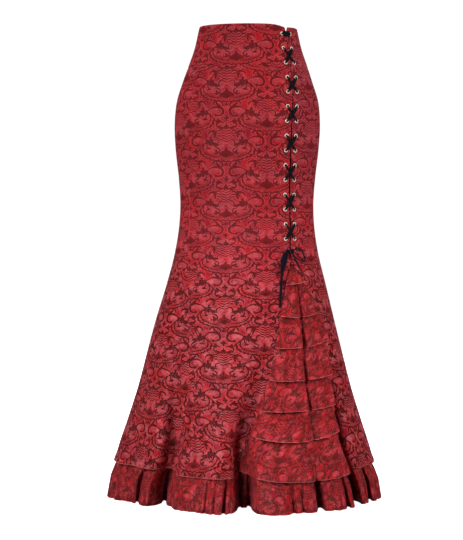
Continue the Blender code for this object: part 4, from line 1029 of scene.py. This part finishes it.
leftAgain = leftSeam + 2 * math.pi
cloths = [
    makePanel("waistband_front", seamLine(leftSeam, 1), bandRows, -1, bandEyelets, ("left", "bottom", "top"),
              axisAngle=bandAxis, repeatShift=0.62),
    makePanel("waistband_right", seamLine(rightSeam, -1), bandRows, 1, bandEyelets,
              ("right", "bottom", "top"), repeatShift=0.4),
    makePanel("waistband_back", (seamLine(rightSeam, 1), seamLine(leftAgain, -1)),
              rowsBetween(band + seam, skirt["top"]), sewn=("left", "right", "bottom", "top")),
    makePanel("front_side_panel", (seamLine(leftSeam, 1), drawnLine("princess", -1)), plainRows,
              sewn=("left", "right", "top"), repeatShift=0.30),
    makePanel("front_centre_panel", drawnLine("princess", 1), lacedRows, -1, panelEyelets, ("left", "top"),
              axis=damask["axis"], axisAngle=frontAxis),
    makePanel("front_right_panel", seamLine(rightSeam, -1), lacedRows, 1, panelEyelets, ("right", "top"),
              repeatShift=0.15),
    makePanel("back_right_panel", (seamLine(rightSeam, 1), seamLine(backSeam, -1)), plainRows,
              sewn=("left", "right", "top"), repeatShift=0.5),
    makePanel("back_left_panel", (seamLine(backSeam, 1), seamLine(leftAgain, -1)), plainRows,
              sewn=("left", "right", "top"), repeatShift=0.5),
    makePanel("godet", (drawnLine("godetLeft", 1), drawnLine("godetRight", -1)),
              rowsBetween(hem, skirt["apex"] - skirt["godetDrop"]), repeatShift=0.2),
]
print("panels made")

# The strip behind the slit
underlay = {
    "low": 0.5420, "high": 1.0860, "deep": 0.0050, "clear": 0.0009, "cutShift": 0.012,
    # Columns on each side of the slit's middle line, and how far each is raised towards the panels
    "columns": (0.034, 0.030, 0.0265, 0.0235, 0.020, 0.016, 0.012, 0.008, 0.004),
    "raised": (1, 1, 1, 0.5, 0, 0, 0, 0, 0),
}


def makeUnderlay():
    # A grid of distances from the slit by heights: close behind the panels, and deeper behind the lace
    rows = rowsBetween(underlay["low"], underlay["high"])[:, None]
    left, raised = -np.array(underlay["columns"]), np.array(underlay["raised"])
    columns = line("slit", rows, np.concatenate([left, [0.0], -left[::-1]])[None, :])
    share = np.concatenate([raised, [0], raised[::-1]])[None, :]
    lift = share * (underlay["deep"] - skirt["wall"] - underlay["clear"]) - underlay["deep"]
    outer = place(columns, rows + 0 * columns, lift + 0 * columns)
    arc = arcAlong(outer)
    cut = np.stack([arc + underlay["cutShift"], -rows + 0 * arc], axis=-1)
    made = clothShell("underlay_cloth", outer, skirt["wall"], cut)
    return finishPiece(made, "brocade", [brocade, brocadeBack], "lacing_underlay"), []


cloths.append(makeUnderlay())

# The godet's tiers
# Each tier's lower edge at its left end, middle and right end, and its gathers
tiers = {
    "edges": [(0.504, 0.506, 0.511, 2), (0.433, 0.431, 0.444, 4), (0.362, 0.364, 0.378, 5),
              (0.291, 0.290, 0.3005, 6), (0.225, 0.223, 0.233, 7), (0.1705, 0.156, 0.176, 8),
              (0.087, 0.069, 0.080, 9)],
    "overlap": 0.018, "rise": 0.0115, "seat": 0.0006, "wave": (0.0004, 0.0026), "bunch": 0.16,
    "creaseShare": 0.45, "creaseWidth": 0.045, "inset": (0.0010, 0.0045), "rows": 22, "step": 0.0026,
    # How deep the tiers' shared upright crease is on each of them, and half its breadth
    "creaseDepths": (0.0, 0.006, 0.018, 0.020, 0.014, 0.006, 0.0), "creaseHalf": 0.0034,
    "drop": 0.012, "power": 1.3,  # the first starts this far below the slit's end, and how they stand out
    # Fine puckers at the gathered edge and ripples at the lower one, with how many for each gather
    "pucker": 0.0004, "puckers": 5, "ripple": 0.0005, "ripples": 2.3,
    "pinch": 0.0045, "pinchShare": 0.28, "seamed": 0.06,  # the share of the width that the left seam holds
    "cutWider": 1.25, "cutShift": (0.037, 0.043),  # the flat cloth's fullness, and each tier's own start
}


def tierEdge(tier, share):
    # A parabola through the three given heights
    left, middle, right, _ = tier
    return left + share * (4 * middle - 3 * left - right) + share**2 * (2 * left + 2 * right - 4 * middle)


def tierWave(number, share, gathers):
    # A sine of the gathers, bunched by a slower sine, and uneven in height
    phase = 2 * math.pi * (gathers * share + tiers["bunch"] * np.sin(4 * math.pi * share + number))
    return np.sin(phase + 0.9 * number) * (0.75 + 0.25 * np.sin(5 * share + 2.1 * number))


def makeTier(number, tier):
    # Lift is rise x down^power, less in the shared crease, plus the gathers' waves, the puckers and the pinch
    def slot(at, level):
        # The shared crease: a bell across its line
        away = (at - line("crease", level)) * turnRate(at, level) / tiers["creaseHalf"]
        return tiers["creaseDepths"][number] * np.exp(-(away**2))

    gathers = tier[3]
    down = np.linspace(1, 0, tiers["rows"])[:, None]
    share = evenShares(line("godetLeft", tier[1]), line("godetRight", tier[1]), tier[1], tiers["step"],
                       lambda at: slot(at, tier[1]))[None, :]
    above = skirt["apex"] - tiers["drop"] + 0 * share
    if number:
        above = tierEdge(tiers["edges"][number - 1], share) + tiers["overlap"]
    height = above + down * (tierEdge(tier, share) - above)
    start, end = line("godetLeft", height, tiers["inset"][0]), line("godetRight", height, -tiers["inset"][1])
    angle = start + share * (end - start)
    away = (angle - line("crease", height)) / tiers["creaseWidth"]
    crease = np.exp(-(away**2)) if number else 0 * away
    rise = tiers["rise"] * down ** tiers["power"] * (1 - tiers["creaseShare"] * crease)
    wave = (tiers["wave"][0] + tiers["wave"][1] * down) * (1 + tierWave(number, share, gathers))
    fine = np.sin(2 * math.pi * (tiers["puckers"] * gathers * share + 0.4 * np.sin(9 * share + number)))
    broad = np.sin(2 * math.pi * (tiers["ripples"] * gathers * share + 0.6 * np.sin(7 * share)) + number)
    pucker = tiers["pucker"] * (1 - down) ** 2 * fine + tiers["ripple"] * down * broad
    pinch = 0
    if number:
        pinch = -tiers["pinch"] * np.exp(-((away / tiers["pinchShare"]) ** 2)) * (0.4 + 0.6 * down)
    # Its left end stays down in the seam
    free = np.clip(share / tiers["seamed"], 0, 1) ** 0.7
    lift = skirt["ruffleWall"] + tiers["seat"] + free * np.maximum(rise + wave + pucker + pinch, 0)
    outer = place(angle, height, lift, slot(angle, height) * (0.1 + 0.9 * down))
    shiftAcross, shiftDown = tiers["cutShift"]
    across = arcAlong(outer) * tiers["cutWider"] + shiftAcross * number
    cut = np.stack([across, -(height - 0.5) + shiftDown * number], axis=-1)
    made = clothShell(f"tier_{number + 1}_cloth", outer, skirt["ruffleWall"], cut)
    finishPiece(made, "ruffle_brocade", [ruffleBrocade, brocadeBack], f"ruffle_tier_{number + 1}")
    return made, [addEdging("tier", f"tier_{number + 1}", outer, "ruffle_brocade")]


tierPieces = [makeTier(number, tier) for number, tier in enumerate(tiers["edges"])]
print("tiers made")

# The frill
frill = {
    # Folds: angle in degrees, depth at its lower edge, half the breadth of its narrow part, and how square
    "folds": [
        (-80.0, 0.010, 0.009, 2), (-71.0, 0.007, 0.008, 2), (-57.3, 0.036, 0.0085, 4),
        (-46.5, 0.008, 0.008, 2), (-39.9, 0.042, 0.0060, 4), (-35.6, 0.014, 0.0040, 2),
        (-29.0, 0.005, 0.005, 2), (-22.0, 0.004, 0.006, 2), (-16.0, 0.010, 0.0040, 2),
        (-12.3, 0.010, 0.0034, 2), (-8.4, 0.022, 0.0034, 4), (-5.9, 0.010, 0.0032, 2),
        (-2.2, 0.022, 0.0042, 4), (2.1, 0.030, 0.0050, 4), (7.3, 0.004, 0.006, 2), (13.5, 0.005, 0.006, 2),
        (19.4, 0.017, 0.0060, 2), (24.2, 0.009, 0.0040, 2), (32.2, 0.046, 0.0090, 4),
        (38.5, 0.007, 0.006, 2), (43.0, 0.005, 0.005, 2), (47.0, 0.026, 0.0060, 2),
        (57.9, 0.038, 0.0080, 4), (63.5, 0.008, 0.005, 2), (69.3, 0.036, 0.0085, 4),
        (78.0, 0.010, 0.008, 2), (99.0, 0.012, 0.009, 2), (108.5, 0.034, 0.009, 4),
        (119.0, 0.012, 0.008, 2), (128.5, 0.036, 0.008, 4), (138.0, 0.010, 0.006, 2),
        (152.0, 0.012, 0.006, 2), (160.5, 0.034, 0.008, 4), (168.5, 0.010, 0.006, 2),
        (176.0, 0.018, 0.006, 2), (187.0, 0.036, 0.008, 4), (197.0, 0.010, 0.006, 2),
        (212.0, 0.012, 0.006, 2), (221.5, 0.040, 0.008, 4), (231.0, 0.012, 0.007, 2),
        (243.5, 0.036, 0.009, 4), (254.0, 0.014, 0.008, 2), (266.0, 0.010, 0.008, 2),
    ],
    # Rows: height, lift, and how much of the folds is reached
    "rows": ((0.0945, 0.0900, 0.0845, 0.0700, 0.0440, 0.0000),
             (-0.0034, -0.0055, -0.0066, -0.0045, -0.0010, 0.0000), (0.00, 0.00, 0.12, 0.48, 0.82, 1.00)),
    "top": 0.0945, "puff": 0.0105, "raised": 0.03, "narrow": 0.90, "fan": 0.70, "step": 0.0030,
    # It stands out further under the godet: by how much, the angles where that starts and ends, and over what
    "fuller": 0.008, "fullerFrom": (0.02, 0.10), "fullerTo": (0.82, 0.10), "fullerBelow": 0.02,
    "bend": 0.080, "grid": (26, 9), "measuredAt": 0.03,  # mesh rows below and above the bend
    "ripple": (0.0008, 0.0005), "cutWider": 1.15, "cutInFolds": 0.8, "cutShift": 0.031,
}


def frillDepth(angle):
    # Each fold is a narrow bell, squarer where its last number is higher, on one three times as wide
    rate = turnRate(angle, skirt["hem"])
    total = np.zeros(np.shape(angle))
    for at, depth, width, square in frill["folds"]:
        away = np.abs(turn(angle, math.radians(at)) * rate / width)
        bell = frill["narrow"] * np.exp(-(away**square)) + (1 - frill["narrow"]) * np.exp(-(away**2) / 9)
        total = total + depth * bell
    return total


def makeFrill(name, node, start, end):
    # Lift is the rows' own plus the puff, the fullness and the ripples, and the folds go straight in
    low, high = frill["grid"]
    rows = np.concatenate([np.linspace(0, frill["bend"], low)[:-1],
                           np.linspace(frill["bend"], frill["top"], high)])
    knots = frill["rows"][0][::-1]
    lift, share = (np.interp(rows, knots, column[::-1])[:, None] for column in frill["rows"][1:])
    rows = rows[:, None]
    first, last = start(skirt["hem"]), end(skirt["hem"])
    shares = evenShares(first, last, frill["measuredAt"], frill["step"], frillDepth)
    angle = first + (last - first) * shares[None, :]
    # The folds fan out to the sides as they go down
    fold = share * frillDepth(angle + frill["fan"] * rows * np.sin(angle))
    height = rows + frill["raised"] * fold * (1 - rows / frill["top"])
    ripple = frill["ripple"][0] * share * np.sin(angle * 61 + 2 * np.sin(angle * 13))
    ripple = ripple + frill["ripple"][1] * np.sin(angle * 143 + 3 * np.sin(angle * 17))
    (begins, grows), (ends, fades) = frill["fullerFrom"], frill["fullerTo"]
    fuller = frill["fuller"] * np.clip((angle - begins) / grows, 0, 1) * np.clip((ends - angle) / fades, 0, 1)
    fuller = fuller * np.clip((frill["top"] - rows) / frill["fullerBelow"], 0, 1)
    lift = lift + share * frill["puff"] + fuller + ripple * np.minimum(1, share * 4)
    outer = place(angle, height, lift, fold)
    arc = arcAlong(place(angle, 0 * angle + skirt["hem"], 0 * angle))
    inFolds = np.cumsum(np.concatenate([[0], np.abs(np.diff(frillDepth(angle)[0]))]))[None, :]
    across = (arc + inFolds * frill["cutInFolds"]) * frill["cutWider"]
    cut = np.stack(np.broadcast_arrays(across, frill["cutShift"] - rows), axis=-1)
    made = clothShell(name, outer, skirt["ruffleWall"], cut)
    finishPiece(made, "ruffle_brocade", [ruffleBrocade, brocadeBack], node)
    return made, [addEdging("frill", name, outer, "ruffle_brocade")]


frillPieces = [
    makeFrill("frill_front_cloth", "hem_frill_front", seamLine(leftSeam, 1), seamLine(rightSeam, -1)),
    makeFrill("frill_back_cloth", "hem_frill_back", seamLine(rightSeam, 1), seamLine(leftAgain, -1)),
]
print("frill made")

# Eyelets
eyelet = {
    "segments": 28,
    # Closed outline of the ring with its back washer: radius and rise
    "outline": ((0.0046, 0.0001), (0.0045, 0.0005), (0.0040, 0.0009), (0.0034, 0.0010), (0.0029, 0.0007),
                (0.0026, 0.0001), (0.0025, -0.0008), (0.0026, -0.0017), (0.0030, -0.0021), (0.0037, -0.0021),
                (0.0042, -0.0017), (0.0041, -0.00145), (0.0031, -0.00142), (0.0030, -0.0001)),
}


def makeEyelet(row, side):
    # The outline turned round the hole's middle
    height = np.array([lacing["first"] - row * lacing["pitch"]])
    middle, axes = slitFrame(height, np.array([side * lacing["offset"]]), np.array([0.0]))
    around = np.linspace(0, 2 * math.pi, eyelet["segments"], endpoint=False)
    radius, rise = np.array(eyelet["outline"]).T
    local = np.stack(np.broadcast_arrays(radius[None, :] * np.cos(around)[:, None],
                                         radius[None, :] * np.sin(around)[:, None], rise[None, :]), axis=-1)
    points = (middle[0] + local @ axes[0]).reshape(-1, 3)
    faces = gridFaces(eyelet["segments"] + 1, len(radius), ring=True) % len(points)
    name = f"eyelet_{'left' if side < 0 else 'right'}_{row + 1:02d}"
    made = addMesh(name + "_ring", points, outward(points, faces), sharp=70)
    return finishPiece(made, "pale_brass", [brass], name)


for row in range(lacing["rows"]):
    for side in (-1, 1):
        makeEyelet(row, side)
print("eyelets made")


# The lace and its bow
def crossing(row, side):
    # Stops outside from an eyelet of this row to the other side's eyelet of the next row
    height = lacing["first"] - row * lacing["pitch"]
    slope = math.hypot(2 * lacing["offset"], lacing["pitch"])
    way = (lacing["pitch"] / slope, -side * 2 * lacing["offset"] / slope, 0)
    width = lacing["width"] * lacing["strands"][0 if side > 0 else 1]
    stops = []
    for share in (0, 0.26, 0.50, 0.74, 1):
        lift = lacing["over"] if side > 0 and share == 0.50 else lacing["front"]
        breadth = lacing["inHole"] if share in (0, 1) else width
        across = side * lacing["offset"] * (1 - 2 * share)
        stops.append((across, height - share * lacing["pitch"], lift, breadth, way))
    return stops


def insideRun(row, side):
    # Stops behind the cloth, from an eyelet of this row to the one under it
    return [(side * lacing["offset"], lacing["first"] - each * lacing["pitch"], lacing["back"],
             lacing["inHole"], "across") for each in (row, row + 1)]


def laceHalf(side):
    # From the top bar down to where it comes out of the slit behind the knot
    stops = []
    for row in range(0, lacing["rows"] - 1, 2):
        stops += insideRun(row, side) + crossing(row + 1, side)
        side = -side
    out = side * (lacing["slitGap"] - 0.0010 - 3 * skirt["gap"]) / 2
    last = lacing["first"] - (lacing["rows"] - 1) * lacing["pitch"]
    knotAt, deep, narrow = lacing["knotHeight"], lacing["tuckedBack"], lacing["tucked"]
    return stops + [
        (side * lacing["offset"], last, lacing["back"], lacing["inHole"], "across"),
        (side * 0.0060, knotAt + 0.012, deep, narrow, (0.9, side * -0.4, 0)),
        (out, knotAt, deep, narrow, "up"),
        (out, knotAt, lacing["knotLift"] - 2 * skirt["gap"], narrow, "up"),
    ]


bar = [(x, lacing["first"], lacing["front"], width, "up") for x, width in (
    (-lacing["offset"], lacing["inHole"]), (-0.0085, 0.85 * lacing["barWidth"]), (0, lacing["barWidth"]),
    (0.0090, 0.9 * lacing["barWidth"]), (lacing["offset"], lacing["inHole"]))]
flipped = [(*stop[:4], tuple(-each for each in toVector(stop[4]))) for stop in laceHalf(-1)[::-1]]
lacePiece, _ = ribbon("lace_ribbon", flipped + bar + laceHalf(1), lacing["thick"], steps=6)
finishPiece(lacePiece, "black_satin", [satin], "lace")

bowLoops = {
    "left": [
        (knotLeft + 0.0010, 0.5800, 0.0084, 0.0040, "up"),
        (-0.0125, 0.5800, 0.0095, 0.0060, (0.35, 0.94, 0)),
        (-0.0190, 0.5720, 0.0105, 0.0072, (0.80, 0.60, 0)),
        (-0.0230, 0.5600, 0.0105, 0.0082, (0.97, 0.24, 0)), (-0.0240, 0.5460, 0.0100, 0.0086, (1, 0, 0)),
        (-0.0230, 0.5345, 0.0092, 0.0080, (0.98, -0.17, 0)),
        (-0.0222, 0.5315, 0.0078, 0.0076, (0.96, -0.26, 0)),
        (-0.0215, 0.5345, 0.0064, 0.0080, (0.98, -0.17, 0)),
        (-0.0180, 0.5460, 0.0058, 0.0090, (0.99, 0.10, 0)),
        (-0.0145, 0.5580, 0.0056, 0.0090, (0.96, 0.28, 0)),
        (-0.0118, 0.5690, 0.0060, 0.0072, (0.85, 0.53, 0)),
        (-0.0078, 0.5765, 0.0064, 0.0040, (0.30, 0.95, 0)),
        (knotLeft + 0.0010, 0.5770, 0.0066, 0.0036, "up"),
    ],
    "right": [
        (knotRight - 0.0010, 0.5820, 0.0060, 0.0036, "out"), (0.0140, 0.5850, 0.0055, 0.0046, "out"),
        (0.0240, 0.5825, 0.0055, 0.0046, "out"), (0.0330, 0.5730, 0.0052, 0.0046, "out"),
        (0.0385, 0.5620, 0.0050, 0.0046, "out"), (0.0395, 0.5560, 0.0050, 0.0046, "out"),
        (0.0375, 0.5535, 0.0050, 0.0046, "out"), (0.0335, 0.5560, 0.0050, 0.0046, "out"),
        (0.0240, 0.5635, 0.0052, 0.0046, "out"), (0.0140, 0.5710, 0.0055, 0.0046, "out"),
        (0.0078, 0.5762, 0.0060, 0.0036, "out"), (knotRight - 0.0010, 0.5765, 0.0060, 0.0036, "out"),
    ],
}
for side, stops in bowLoops.items():
    piece, _ = ribbon(f"bow_loop_{side}_ribbon", stops, 0.0011, cup=0.0003)
    finishPiece(piece, "black_satin", [bowSatin], f"bow_loop_{side}")


knot = {
    "rings": 17, "columns": 28, "power": 0.72, "groove": 0.07, "wraps": 3, "pole": 0.94, "cutScale": 0.006,
}


def makeKnot():
    # A fuller-than-round ball with poles on its sides, its wraps pressed into it as soft grooves
    def swell(value):
        return np.sign(value) * np.abs(value) ** knot["power"]

    middle, axes = slitFrame(np.array([lacing["knotHeight"]]), np.array([0.0]),
                             np.array([lacing["knotLift"] + lacing["knotSize"][2] / 2]))
    rings, columns = knot["rings"], knot["columns"]
    tilt = np.linspace(0, math.pi, rings + 2)[1:-1][:, None]
    around = np.linspace(0, 2 * math.pi, columns, endpoint=False)[None, :]
    groove = 1 - knot["groove"] * np.cos(knot["wraps"] * tilt + 0.6 * np.sin(around)) ** 2
    wide = swell(np.sin(tilt))
    local = np.stack(np.broadcast_arrays(swell(np.cos(tilt)) * groove, wide * swell(np.cos(around)) * groove,
                                         wide * swell(np.sin(around)) * groove), axis=-1)
    local = np.concatenate([local.reshape(-1, 3), [[knot["pole"], 0, 0], [-knot["pole"], 0, 0]]])
    points = middle[0] + (local * np.array(lacing["knotSize"]) / 2) @ axes[0]
    faces = gridFaces(rings, columns, ring=True)
    turned = not np.array_equal(outward(points, faces)[0], faces[0])
    start, end = np.arange(columns), np.arange(columns) + (rings - 1) * columns
    caps = [(rings * columns, (k + 1) % columns, k) for k in start]
    caps += [(rings * columns + 1, end[k], end[(k + 1) % columns]) for k in range(columns)]
    faces = [tuple(face) for face in faces.tolist()] + [tuple(int(i) for i in cap) for cap in caps]
    faces = [face[::-1] for face in faces] if turned else faces
    made = addMesh("bow_knot_wrap", points, faces, local[:, 1::-1] * knot["cutScale"])
    return finishPiece(made, "black_satin", [satin], "bow_knot")


makeKnot()
print("lace and bow made")

# The hung and the gathered pieces of cloth are gone through; nothing is done with them
for held, pieces in (("hung", cloths), ("gathered", tierPieces + frillPieces)):
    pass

# Light and floor
studio = {
    "world": 0.07, "backdrop": 1.05, "floor": -1.0557, "floorHalf": 6,
    # Each light: power, width, height, where it stands, and what it points at
    "key": (109.0, 1.0, 1.0, (-2.7, -1.6, 1.7), (0, 0, -0.6)),
    "glow": (1.35, 0.5, 0.8, (-1.25, -2.4, -0.15), (0, -0.2, -0.82)),
    "fill": (92.0, 1.4, 1.4, (2.8, -1.6, 0.5), (0, 0, -0.7)),
    "back": (150.0, 1.8, 1.8, (0.4, 3.4, 1.4), (0, 0, -0.5)),
}
world = bpy.data.worlds.new("studio")
world.use_nodes = True
scene.world = world
# The backdrop shows white, and lights the skirt less than it shows
backdrop = world.node_tree.nodes["Background"]
backdrop.inputs[0].default_value = (1, 1, 1, 1)
seen = world.node_tree.nodes.new("ShaderNodeLightPath")
level = world.node_tree.nodes.new("ShaderNodeMapRange")
level.inputs["To Min"].default_value = studio["world"]
level.inputs["To Max"].default_value = studio["backdrop"]
world.node_tree.links.new(seen.outputs["Is Camera Ray"], level.inputs["Value"])
world.node_tree.links.new(level.outputs[0], backdrop.inputs[1])


def addLight(name):
    # Turned so that its own -Z points from where it stands to what it points at
    power, width, height, at, aim = studio[name]
    data = bpy.data.lights.new(name, "AREA")
    data.energy, data.shape, data.size, data.size_y = power, "RECTANGLE", width, height
    made = bpy.data.objects.new(name, data)
    made.location = at
    x, y, z = np.array(aim) - np.array(at)
    made.rotation_euler = (math.atan2(math.hypot(x, y), -z), 0, math.atan2(-x, y))
    scene.collection.objects.link(made)
    return made


key, glow, fill, back = (addLight(name) for name in ("key", "glow", "fill", "back"))
glow.data.spread = math.radians(32)  # keeps the flare brighter than the hips
back.visible_camera = back.visible_glossy = False
key.visible_glossy = fill.visible_glossy = False  # only the glow gives the satin its shine
floorMesh = bpy.data.meshes.new("floor")
corners = [(x * studio["floorHalf"], y * studio["floorHalf"], studio["floor"])
           for x, y in ((-1, -1), (1, -1), (1, 1), (-1, 1))]
floorMesh.from_pydata(corners, [], [(0, 1, 2, 3)])
floor = bpy.data.objects.new("floor", floorMesh)
scene.collection.objects.link(floor)
floorPaint, _, floorShader = newMaterial("paleFloor")
floorShader.inputs["Base Color"].default_value = (0.95, 0.95, 0.95, 1)
floorShader.inputs["Roughness"].default_value = 0.9
floorShader.inputs["Emission Color"].default_value = (1, 1, 1, 1)
floorShader.inputs["Emission Strength"].default_value = 1.0
floorMesh.materials.append(floorPaint)
floor.visible_diffuse = floor.visible_glossy = False  # its glow shows, and lights nothing
scene.view_settings.view_transform = "Standard"
print("studio made")
